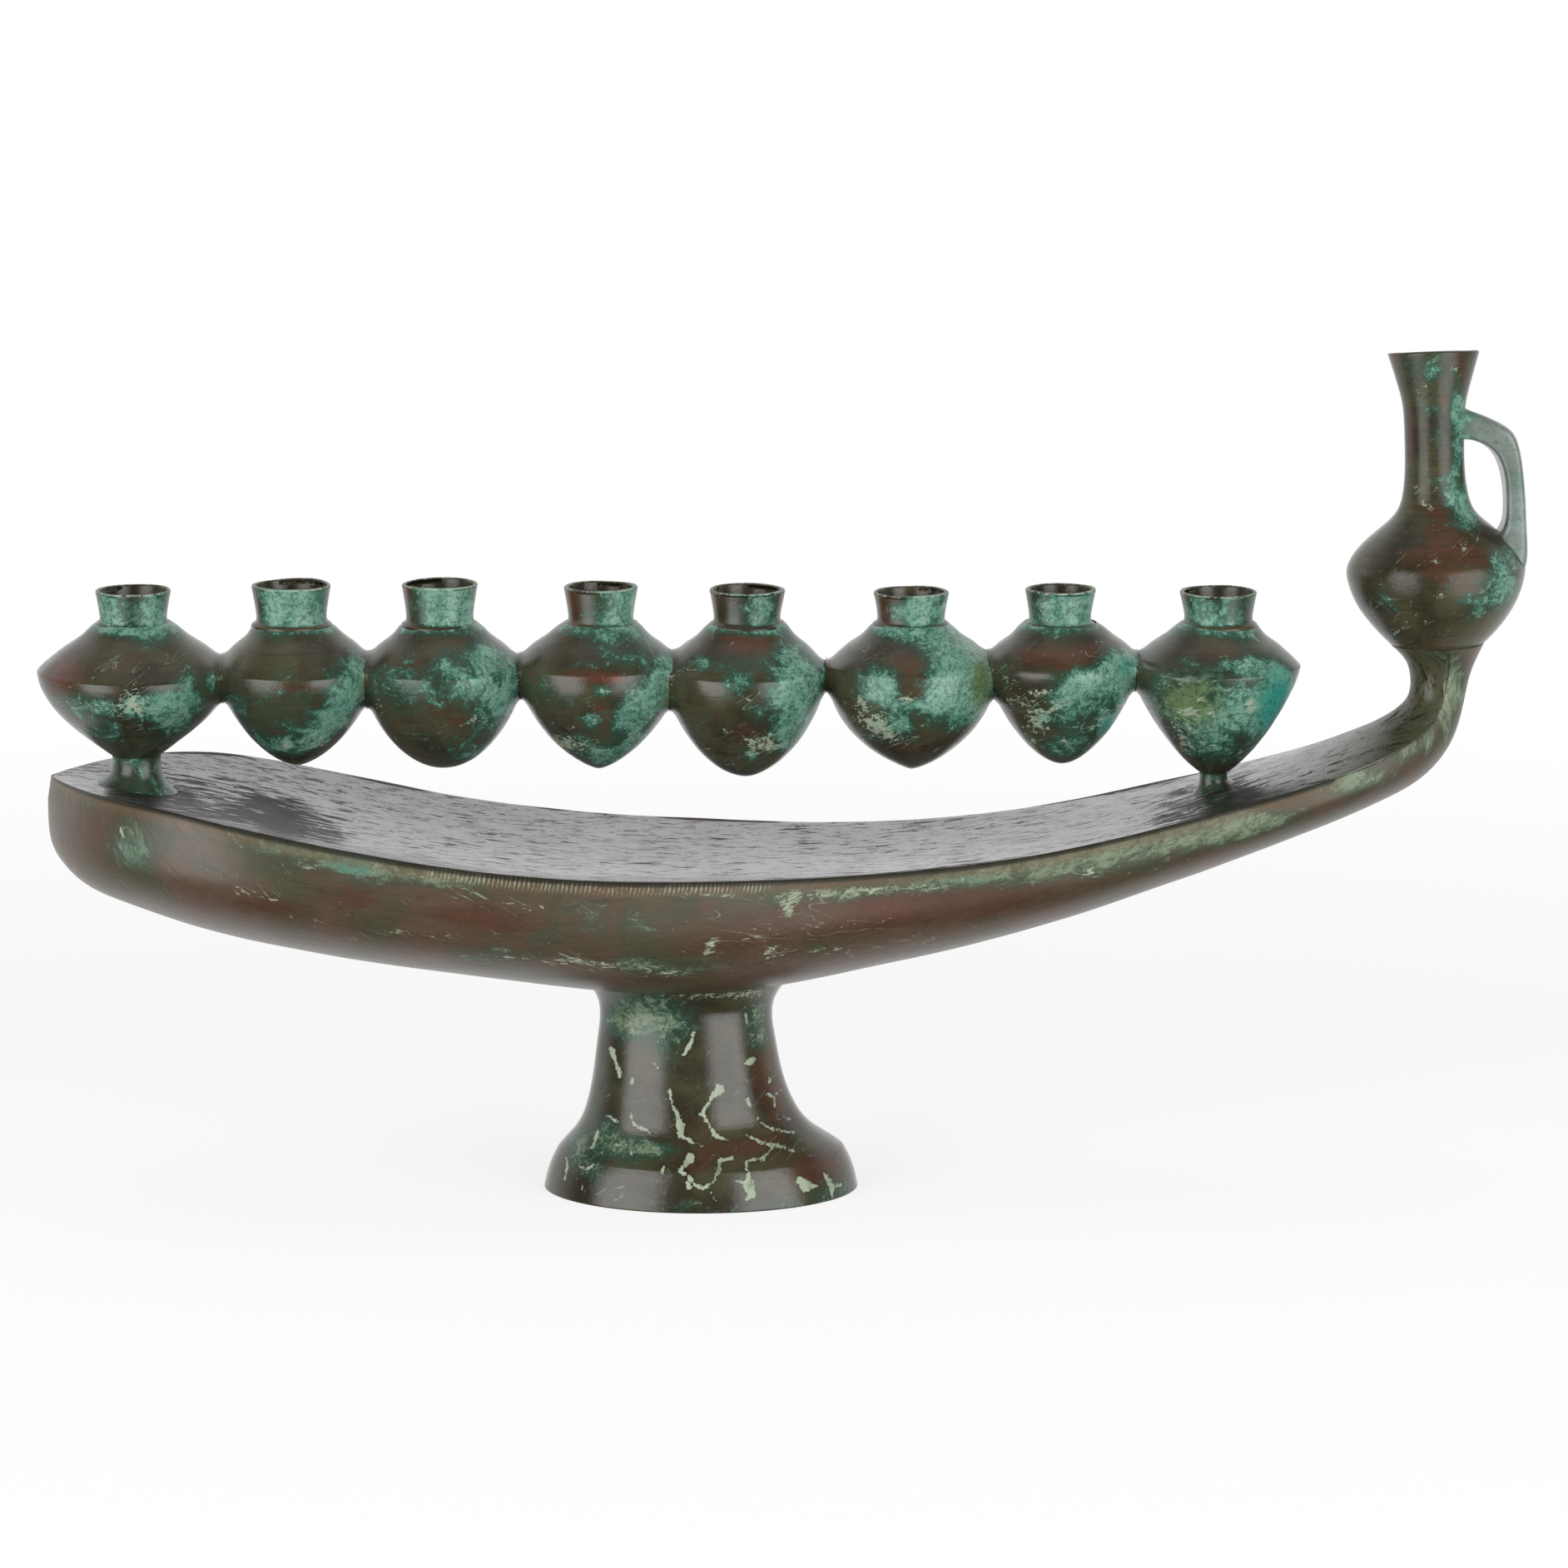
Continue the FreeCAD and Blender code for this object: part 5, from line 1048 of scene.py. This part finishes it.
class LAMP_OT_jug(bpy.types.Operator):
    """Builds the jug on the tail's end, and its strap handle"""
    bl_idname = "lamp.jug"
    bl_label = "Jug"

    def execute(self, context):
        sizes, (foot, lean) = context.scene.lamp_jug, jug_frame(context.scene)
        self.body(sizes, foot, lean, finish(context, "jug"))
        self.handle(sizes, foot, lean, finish(context, "handle"))
        return {"FINISHED"}

    def body(self, sizes, foot, lean, material):
        """Foot, belly, shoulder, neck and flared mouth on one smooth profile, then its inside. Near the top
        the surface is sheared so that the mouth falls to the back."""
        rest, half = sizes.height - sizes.level, sizes.lip / 2

        def blend(low, high, table, start, reach):
            return np.stack([low + (high - low) * table[:, 0], start + reach * table[:, 1]], axis=1)

        outer = smooth_line(np.vstack([blend(sizes.foot, sizes.body, JUG_LOWER, 0, sizes.level),
                                       blend(sizes.neck, sizes.body, JUG_SHOULDER, sizes.level, rest),
                                       blend(sizes.neck, sizes.mouth, JUG_NECK, sizes.level, rest)]), 150)
        outer = np.insert(outer, 1, outer[0] + (outer[1] - outer[0]) * 0.04, axis=0)
        thin = np.clip((outer[:, 1] - sizes.level) / rest, 0, 1)
        inner = outer - np.stack([sizes.wall + (sizes.lip - sizes.wall) * thin, 0 * thin], axis=1)
        inner = inner[inner[:, 1] > sizes.floor + 0.001][:-1][::-2]
        turn = np.linspace(0, math.pi, 9)[1:-1]
        lip = np.stack([sizes.mouth - half + half * np.cos(turn), sizes.height + half * np.sin(turn) * 0.8], axis=1)
        base = np.array([(0.002, -0.0009), (sizes.foot * 0.94, -0.0008), (sizes.foot * 0.985, -0.0003)])
        rings = turned(np.vstack([base, outer, lip, inner, (inner[-1, 0] * 0.6, sizes.floor)]), JUG_SIDES)
        fall = np.clip((rings[..., 2] - 0.85 * sizes.height) / (0.15 * sizes.height), 0, 1)
        rings[..., 2] -= math.tan(math.radians(sizes.skew)) * rings[..., 1] * fall
        rings = worn(rings, ((0.024, 90, 0.00016),), outward(rings), np.clip(rings[..., 2] / 0.008, 0, 1))
        placed = rings @ lean.T + foot
        skin("jug_skin", placed, ("jug_body",), "jug_brass", material,
             [spots(mirrored(placed), table) for table in (JUG_GREEN, JUG_WARM, JUG_PALE)], grain=rings)

    def handle(self, sizes, foot, lean, material):
        """A strap whose middle line and thickness follow its outer and inner outlines, with a section
        between an ellipse and a rectangle that widens where it runs into the jug."""
        outer, inner = (smooth_line(table * (sizes.reach, sizes.strap_top), STRAP_RINGS)
                        for table in (HANDLE_OUTER, HANDLE_INNER))
        angle = np.linspace(0, 2 * math.pi, STRAP_SIDES, endpoint=False)
        cosine, sine = np.cos(angle), np.sin(angle)
        along = np.linspace(0, 1, STRAP_RINGS)[:, None]
        half_width = sizes.strap / 2 * (1 - 0.30 * bump_at(along, 0, 0.16) + 0.10 * bump_at(along, 1, 0.12))
        half = (outer - inner) / 2 * (1 + 0.35 * bump_at(along, 0, 0.07))
        through = (np.sign(cosine) * np.abs(cosine) ** SQUARISH)[None, :, None]
        plane = (outer + inner)[:, None] / 2 + half[:, None] * through
        rings = np.stack([plane[..., 0], half_width * np.sign(sine) * np.abs(sine) ** SQUARISH, plane[..., 1]], axis=-1)
        rings = worn(rings, ((0.016, 95, 0.00014),), outward(rings))
        green = 0.25 + 0.25 * uneven(rings, 0.02, 96) + 0.9 * bump_at(along, 0, 0.10)
        # Dark lines along the strap for the fourth mask: the one at each inner corner, where the sides turn into the
        # inner face, is painted shade of these corners; the other runs along the outer face.
        line = bump_at(cosine, -0.80, 0.09) + bump_at(cosine, 0.97, 0.05)
        line = line * np.clip(np.minimum(along - 0.06, 0.86 - along) * 12, 0, 1)
        skin("jug_strap", rings @ lean.T + foot, ("jug_handle",), "jug_brass", material,
             (green, 0.8 * bump_at(along, 0.93, 0.07), 0, line), grain=rings)


# Finishes

class Nodes:
    """Short ways to add and join shader nodes in one material or world."""

    def __init__(self, name, library=None):
        self.owner = (bpy.data.materials if library is None else library).new(name)
        self.owner.use_nodes = True
        self.tree = self.owner.node_tree
        self.tree.nodes.clear()

    def add(self, kind, inputs=None, **settings):
        node = self.tree.nodes.new("ShaderNode" + kind)
        for key, value in settings.items():
            setattr(node, key, value)
        for key, value in (inputs or {}).items():
            if isinstance(value, bpy.types.NodeSocket):
                self.tree.links.new(value, node.inputs[key])
            else:
                node.inputs[key].default_value = value
        return node

    def attribute(self, name, output="Vector"):
        return self.add("Attribute", attribute_name=name).outputs[output]

    def scaled(self, vector, scale=(1, 1, 1), offset=(0, 0, 0), turn=(0, 0, 0)):
        """The vector turned, then stretched: a scale under 1 draws a pattern out along that axis."""
        placed = self.add("Mapping", {"Vector": vector, "Rotation": turn, "Location": offset}).outputs[0]
        return self.add("Mapping", {"Vector": placed, "Scale": scale}).outputs[0]

    def noise(self, vector, scale, detail=4.0, rough=0.6, twist=0.0, less=0.5):
        """Noise with its mean taken off, so that it adds on both sides of a threshold."""
        noise = self.add("TexNoise", {"Vector": vector, "Scale": scale, "Detail": detail, "Roughness": rough,
                                      "Distortion": twist})
        return self.math("SUBTRACT", noise.outputs["Fac"], less)

    def math(self, operation, first, *others):
        """The first value joined with each other one in turn, or changed alone where there is no other."""
        if not others:
            return self.add("Math", {0: first}, operation=operation).outputs[0]
        for other in others:
            first = self.add("Math", {0: first, 1: other}, operation=operation).outputs[0]
        return first

    def sum(self, first, *others):
        return self.math("ADD", first, *others) if others else first

    def times(self, *values):
        return self.math("MULTIPLY", *values)

    def step(self, value, low, high, out_low=0.0, out_high=1.0):
        """Rises smoothly from one value to another between two limits."""
        return self.add("MapRange", {"Value": value, "From Min": low, "From Max": high, "To Min": out_low,
                                     "To Max": out_high}, interpolation_type="SMOOTHSTEP").outputs[0]

    def mix(self, share, a, b):
        colours = {key: value if isinstance(value, bpy.types.NodeSocket) else (*value, 1.0)
                   for key, value in ((6, a), (7, b))}
        return self.add("Mix", {**colours, "Factor": share}, data_type="RGBA").outputs[2]

    def finish(self, colour, roughness, height, bump, distance, **constants):
        normal = self.add("Bump", {"Height": height, "Strength": bump, "Distance": distance}).outputs[0]
        inputs = {"Base Color": colour, "Roughness": roughness, "Metallic": 0.0, "IOR": 1.5, "Normal": normal}
        shader = self.add("BsdfPrincipled", {**inputs, **constants})
        self.add("OutputMaterial", {"Surface": shader.outputs[0]})
        return self.owner


def patina(look, name, ground="metal", olive=1.0, unrolled=False, film=0.7, rough=0.20, bump=0.2, brush=0.35,
           hairs=1.0, crumb=(950, 0.7), tones=("fern", "teal", "mint", "vivid"), fourth="tone", green=1.0,
           shine=0.5, ior=1.5, edged=False):
    """Waxed dark brass under films of olive, red-brown and green, broken verdigris, pale crumbs of crust,
    brush lines along the turning or the run, and hair scratches across them. The piece's own masks say
    where each gathers, and noise breaks its edges up. The fourth mask brightens or yellows the verdigris,
    or draws dark streaks, which by the deck's stems paint a reflection of the stems and urns, or paints
    shade as dark lines along the handle's corners, and veins of crust have an attribute of their own."""
    n = Nodes(name)
    grain = n.attribute("grain")
    bloom = n.add("Attribute", attribute_name="bloom").outputs
    masks = n.add("SeparateColor", {0: bloom["Color"]}).outputs
    run = (0.45, 1, 1) if unrolled else (1, 1, 1)

    def drawn_out(share, turn=(0, 0, 0)):
        """The grain drawn out along the run, or round the turning."""
        return n.scaled(grain, (share, 1, 1) if unrolled else (share, share, 1), turn=turn)

    layers = {
        "green": masks[0], "warm": masks[1], "pale": masks[2], "fourth": bloom["Alpha"],
        "broad": n.noise(grain, 55, 4, 0.6, 0.3),
        "patch": n.noise(n.scaled(grain, run, (3.1, 1.7, 0.4)), 190, 6, 0.7, 0.6),
        "flake": n.noise(n.scaled(grain, run, (0.7, 4.2, 2.4)), 620, 6, 0.75, 0.9),
        "fine": n.noise(grain, 1900, 4, 0.7),
        "lines": n.noise(drawn_out(0.03), 1600, 4, 0.7),
    }

    def total(*values, **weights):
        """The values together with the named layers, each times its weight."""
        return n.sum(*values, *(layers[key] if weight == 1 else n.times(layers[key], weight)
                                for key, weight in weights.items()))

    def shade(colour):
        return getattr(look, colour) if isinstance(colour, str) else colour

    def coat(under, over, value, low, high, least=0.0, most=1.0):
        """One colour over another, thicker as the value rises from low to high."""
        return n.mix(n.step(value, low, high, least, most), shade(under), shade(over))

    base = coat(ground, "olive", layers["broad"], -0.12, 0.12, 0.0, olive)
    if fourth == "streaks":
        tail = n.attribute("tail", "Fac")
        base = n.mix(tail, base, look.olive)
    base = coat(base, "warm", total(warm=1, patch=1.6, flake=0.5, broad=1), 0.25, 0.95)
    base = coat(base, "russet", total(warm=1, patch=2.4, flake=0.8, fine=0.6), 0.85, 1.6)
    base = coat(base, "soot_and_shade", total(flake=1, fine=0.5), 0.02, 0.24, 0.0, 0.5)
    base = coat(base, "soot_and_shade", layers["lines"], 0.0, 0.16, 0.0, brush)

    grown = total(green=green, broad=1, patch=1.5)
    base = coat(base, "deep", total(grown, flake=0.6), 0.0, 0.70, 0.0, film)
    cover = n.step(grown, 0.05, 1.25)
    verdigris = n.step(total(cover, patch=0.9, flake=1.8, fine=1.2, lines=0.8), 0.15, 0.90)
    light = total(n.times(cover, 0.65), patch=1, flake=1.5, fine=1.4)
    tone = coat(tones[0], tones[1], light, 0.12, 0.50)
    tone = coat(tone, tones[2], light, 0.42, 0.80)
    if fourth == "tone":
        rough = n.sum(n.step(layers["fourth"], 0.0, 1.0, 0.0, 0.16), rough)
        shift = total(fourth=1, flake=1)
        tone = coat(tone, tones[3], shift, 0.2, 0.9)
        tone = coat(tone, "lime", shift, -0.1, -0.9)
    tone = coat(tone, "deep", total(fine=1.2, flake=-1.1, lines=0.5), 0.03, 0.20, 0.0, 0.85)
    base = n.mix(n.times(verdigris, 0.92), base, tone)

    crumb_scale, crumb_share = crumb
    stretch = (crumb_share, 1, 1) if unrolled else (crumb_share, crumb_share, 1.2)
    crumb_noise = n.noise(n.scaled(grain, stretch, turn=(0.2, 0.1, 0.15)), crumb_scale, 5, 0.72, 0.5)
    crumbs = n.step(total(crumb_noise, n.times(cover, 0.05), pale=0.2, patch=0.2), 0.24, 0.31)
    hair_noise = n.noise(drawn_out(0.14, (0, 0, 0.5) if unrolled else (0, 0.6, 0)), 420, 1, 0.4, 0.3)
    hair = n.times(n.step(n.math("ABSOLUTE", hair_noise), 0.003, 0.009, 0.6 * hairs, 0.0),
                   n.step(total(patch=1, flake=0.8, pale=0.25), 0.06, 0.16))
    crust = n.math("MAXIMUM", crumbs, hair)
    height = total(n.times(verdigris, 0.25), n.times(crumbs, 0.5), fine=0.45, flake=0.5, lines=0.5, patch=1.2)
    if fourth == "veins":
        edge = total(n.attribute("veins", "Fac"), 0.16, patch=1.5, flake=2.2, fine=1)
        vein = n.step(edge, -0.14, 0.02, 1.0, 0.0)
        base = coat(base, "soot_and_shade", edge, 0.0, 0.5, 0.4, 0.0)
        crust = n.math("MAXIMUM", crust, n.times(vein, 1.15))
        height = n.sum(height, n.times(vein, 0.6))
    pale = coat("pale", tones[2], total(patch=1, fine=0.3), -0.02, 0.14)
    base = n.mix(n.times(crust, 0.85), base, pale)
    roughness = total(n.times(verdigris, 0.10), rough, n.times(crust, 0.30), fine=0.15, lines=0.12)
    # Dull dark dashes along the deck; where the fourth mask is high, by the stems, they paint the reflection of the
    # stems and urns.
    if fourth == "streaks":
        drawn = n.noise(n.scaled(grain, (0.20, 1, 1)), 520, 5, 0.75, 0.4)
        dash = n.noise(n.scaled(grain, (0.16, 1, 1), (0.3, 0.9, 0.1)), 1150, 4, 0.7, 0.3)
        drawn = total(n.times(drawn, 1.3), fourth=0.3, broad=0.25, fine=0.25)
        dull = n.math("MAXIMUM", n.step(drawn, 0.05, 0.16), n.step(dash, 0.05, 0.11, 0.0, 0.9))
        base = n.mix(n.times(dull, 0.7), base, look.soot_and_shade)
        sunk = n.math("MAXIMUM", dull, n.times(tail, 0.6))
        ior = n.step(sunk, 0.0, 1.0, ior, 1.06)
        roughness = n.sum(roughness, n.times(sunk, 0.15), n.times(tail, 0.12))
    # Handle: lime towards its lower end, and dark lines where the fourth mask paints the shade along the strap's
    # corners.
    if fourth == "lines":
        base = coat(base, "lime", total(warm=1, patch=1), 0.3, 0.9, 0.0, 0.7)
        base = coat(base, "soot_and_shade", total(fourth=1, flake=0.6), 0.2, 0.7)
    if edged:
        fall = n.attribute("fall", "Fac")
        ragged = total(fall, patch=3, flake=2)
        base = coat(base, "gilt", ragged, 0.8, 2.8, 0.5, 0.0)
        along = n.add("SeparateXYZ", {0: grain}).outputs[0]
        wave = n.math("SINE", total(n.times(along, 6000.0), n.times(fall, 1.8), patch=9, broad=12))
        stroke = n.times(n.step(total(wave, flake=4, patch=2), 0.45, 1.0, 0.0, 0.62),
                         n.step(ragged, 0.5, 2.4, 1.0, 0.0),
                         n.step(total(n.attribute("hatch", "Fac"), patch=1.5), 0.3, 0.6))
        base = n.mix(stroke, base, look.pale)
        base = coat(base, "soot_and_shade", fall, 0.1, 0.5, 0.85, 0.0)
    return n.finish(base, roughness, height, bump, 0.3 * MM, IOR=ior, **{"Specular IOR Level": shine})


def fastener_finish():
    """Dulled turned steel with fine rings and a little stain."""
    n = Nodes("fastener_steel")
    place = n.add("TexCoord").outputs["Object"]
    rings = n.noise(n.scaled(place, (30, 30, 900)), 8, 3, 0.6, less=0.0)
    stain = n.noise(place, 300, 5, 0.6, less=0.0)
    tone = n.mix(n.step(stain, 0.4, 0.7), (0.36, 0.35, 0.34), (0.20, 0.16, 0.12))
    return n.finish(tone, n.step(rings, 0.3, 0.7, 0.32, 0.5), rings, 0.2, 0.2 * MM, Metallic=1.0)


# What sets each finish apart from the plain patina.
DULL_TONES = ("moss", "sage", "sage_light", "teal")
FINISHES = {
    "hull": {"ground": "hull", "unrolled": True, "film": 0.45, "rough": 0.32, "brush": 0.3, "crumb": (800, 0.45),
             "tones": DULL_TONES, "edged": True},
    # The deck's pale ground is partly a painted reflection of the white surroundings.
    "deck": {"ground": "ash_and_sheen", "olive": 0.3, "unrolled": True, "film": 0.4, "rough": 0.15, "bump": 0.03,
             "brush": 0.2, "hairs": 0.4, "tones": DULL_TONES, "fourth": "streaks", "shine": 0.6, "ior": 2.15},
    "pedestal": {"film": 0.6, "rough": 0.15, "bump": 0.14, "brush": 0.25, "fourth": "veins",
                 "tones": ("deep", "fern", "sage_light")},
    "urn": {"film": 0.85, "rough": 0.18},
    "neck": {"film": 0.85, "rough": 0.24},
    "jug": {"film": 0.6, "rough": 0.18, "green": 0.75, "shine": 0.32, "crumb": (1400, 0.8)},
    "handle": {"ground": "haze", "olive": 0.3, "film": 0.3, "rough": 0.22, "brush": 0.15, "fourth": "lines"},
}


def finish(context, piece):
    """The finish of a kind of piece, made the first time that it is asked for."""
    name = piece + "_patina"
    return bpy.data.materials.get(name) or patina(context.scene.lamp_patina, name, **FINISHES[piece])


# Studio

WHITE = (1, 1, 1, 1)
FLOOR_HALF = 14.0
LIT_POINT = (0.0, 0.0, 0.1)


class LAMP_OT_studio(bpy.types.Operator):
    """Sets the pale floor, the light panels, the white surroundings and the camera"""
    bl_idname = "lamp.studio"
    bl_label = "Studio"

    def execute(self, context):
        studio = context.scene.lamp_studio
        self.floor()
        self.world(context.scene, studio)
        self.panel("panel_left", (-1.13, -1.13, 0.05), (1.20, 1.90), studio.panel_light)
        self.panel("panel_right", (1.05, -1.20, 0.05), (1.20, 1.90), studio.panel_light)
        self.panel("panel_top", (0.0, 0.1, 1.7), (1.4, 1.0), studio.top_light)
        self.camera(context.scene, studio)
        context.scene.view_settings.view_transform = "Standard"
        return {"FINISHED"}

    def floor(self):
        """A wide level sheet. Camera rays see plain white, with the lamp's own shadow kept near it, and
        glossy rays pass through to the white surroundings."""
        n = Nodes("floor_paper")
        path = n.add("LightPath").outputs
        away = n.add("VectorMath", {0: n.add("TexCoord").outputs["Object"]}, operation="LENGTH").outputs["Value"]

        def grey(value):
            return n.add("BsdfDiffuse", {"Color": (value, value, value, 1.0)}).outputs[0]

        def glow(strength):
            return n.add("Emission", {"Color": WHITE, "Strength": strength}).outputs[0]

        def choose(share, without, with_it):
            return n.add("MixShader", {0: share, 1: without, 2: with_it}).outputs[0]

        near = n.add("AddShader", {0: grey(0.35), 1: glow(0.78)}).outputs[0]
        shown = choose(n.step(away, 0.25, 0.70), near, glow(1.0))
        plain = choose(path["Is Camera Ray"], grey(0.86), shown)
        last = choose(path["Is Glossy Ray"], plain, n.add("BsdfTransparent").outputs[0])
        n.add("OutputMaterial", {"Surface": last})
        mesh = bpy.data.meshes.new("floor")
        mesh.from_pydata([(x * FLOOR_HALF, y * FLOOR_HALF, 0) for x, y in ((-1, -1), (1, -1), (1, 1), (-1, 1))], [],
                         [(0, 1, 2, 3)])
        mesh.materials.append(n.owner)
        floor = bpy.data.objects.new("floor", mesh)
        bpy.context.scene.collection.objects.link(floor)

    def world(self, scene, studio):
        """White to the camera. Glossy rays see white behind the lamp, falling to a dim grey in front and
        overhead, and other rays see an even soft grey."""
        n = Nodes("studio_air", bpy.data.worlds)
        path = n.add("LightPath").outputs
        way = n.add("SeparateXYZ", {0: n.add("TexCoord").outputs["Generated"]}).outputs
        mirrored_air = n.times(n.step(way["Y"], -0.15, 0.35, 0.06, 1.0), n.step(way["Z"], 0.5, 0.9, 1.0, 0.2))
        lit = n.add("Mix", {"Factor": path["Is Glossy Ray"], 2: studio.air_light, 3: mirrored_air}).outputs[0]
        seen = n.add("Mix", {"Factor": path["Is Camera Ray"], 2: lit, 3: 1.0}).outputs[0]
        air = n.add("Background", {"Color": WHITE, "Strength": seen}).outputs[0]
        n.add("OutputWorld", {"Surface": air})
        scene.world = n.owner

    def panel(self, name, place, size, radiance):
        """A rectangular light that faces the lamp. Its power is its radiance times pi times its area."""
        light = bpy.data.lights.new(name, "AREA")
        light.shape, light.size, light.size_y = "RECTANGLE", size[0], size[1]
        light.energy = radiance * math.pi * size[0] * size[1]
        lamp = bpy.data.objects.new(name, light)
        lamp.location = place
        way = np.subtract(LIT_POINT, place)
        lamp.rotation_euler = (math.atan2(math.hypot(way[0], way[1]), -way[2]), 0.0, math.atan2(-way[0], way[1]))
        bpy.context.scene.collection.objects.link(lamp)

    def camera(self, scene, studio):
        lens = bpy.data.cameras.new("camera")
        lens.lens, lens.sensor_width, lens.clip_end = studio.lens, 36.0, 100.0
        camera = bpy.data.objects.new("camera", lens)
        camera.location = (studio.aim_x, -studio.distance, studio.eye)
        camera.rotation_euler = (math.pi / 2 - math.atan2(studio.eye - studio.aim_z, studio.distance), 0.0, 0.0)
        scene.collection.objects.link(camera)
        scene.camera = camera


# Panel and registration

class LAMP_PT_tools(bpy.types.Panel):
    """Lists the lamp's operators in the 3D view's sidebar"""
    bl_idname = "LAMP_PT_tools"
    bl_label = "Oil lamp"
    bl_space_type = "VIEW_3D"
    bl_region_type = "UI"
    bl_category = "Lamp"

    def draw(self, context):
        for operator in OPERATORS:
            self.layout.operator(operator.bl_idname)


GROUPS = {"lamp_hull": LampHullSizes, "lamp_pedestal": LampPedestalSizes, "lamp_urns": LampUrnSizes,
          "lamp_stems": LampStemSizes, "lamp_jug": LampJugSizes, "lamp_patina": LampPatina,
          "lamp_studio": LampStudio}
OPERATORS = (LAMP_OT_studio, LAMP_OT_pedestal, LAMP_OT_hull, LAMP_OT_stems, LAMP_OT_urns, LAMP_OT_jug)


def register():
    for cls in (*GROUPS.values(), *OPERATORS, LAMP_PT_tools):
        bpy.utils.register_class(cls)
    for name, group in GROUPS.items():
        setattr(bpy.types.Scene, name, bpy.props.PointerProperty(type=group))


def unregister():
    for name in GROUPS:
        delattr(bpy.types.Scene, name)
    for cls in reversed((*GROUPS.values(), *OPERATORS, LAMP_PT_tools)):
        bpy.utils.unregister_class(cls)


def main():
    """Builds the lamp and its studio."""
    register()
    for operator in OPERATORS:
        getattr(bpy.ops.lamp, operator.bl_idname.split(".")[1])()


if __name__ == "__main__":
    main()
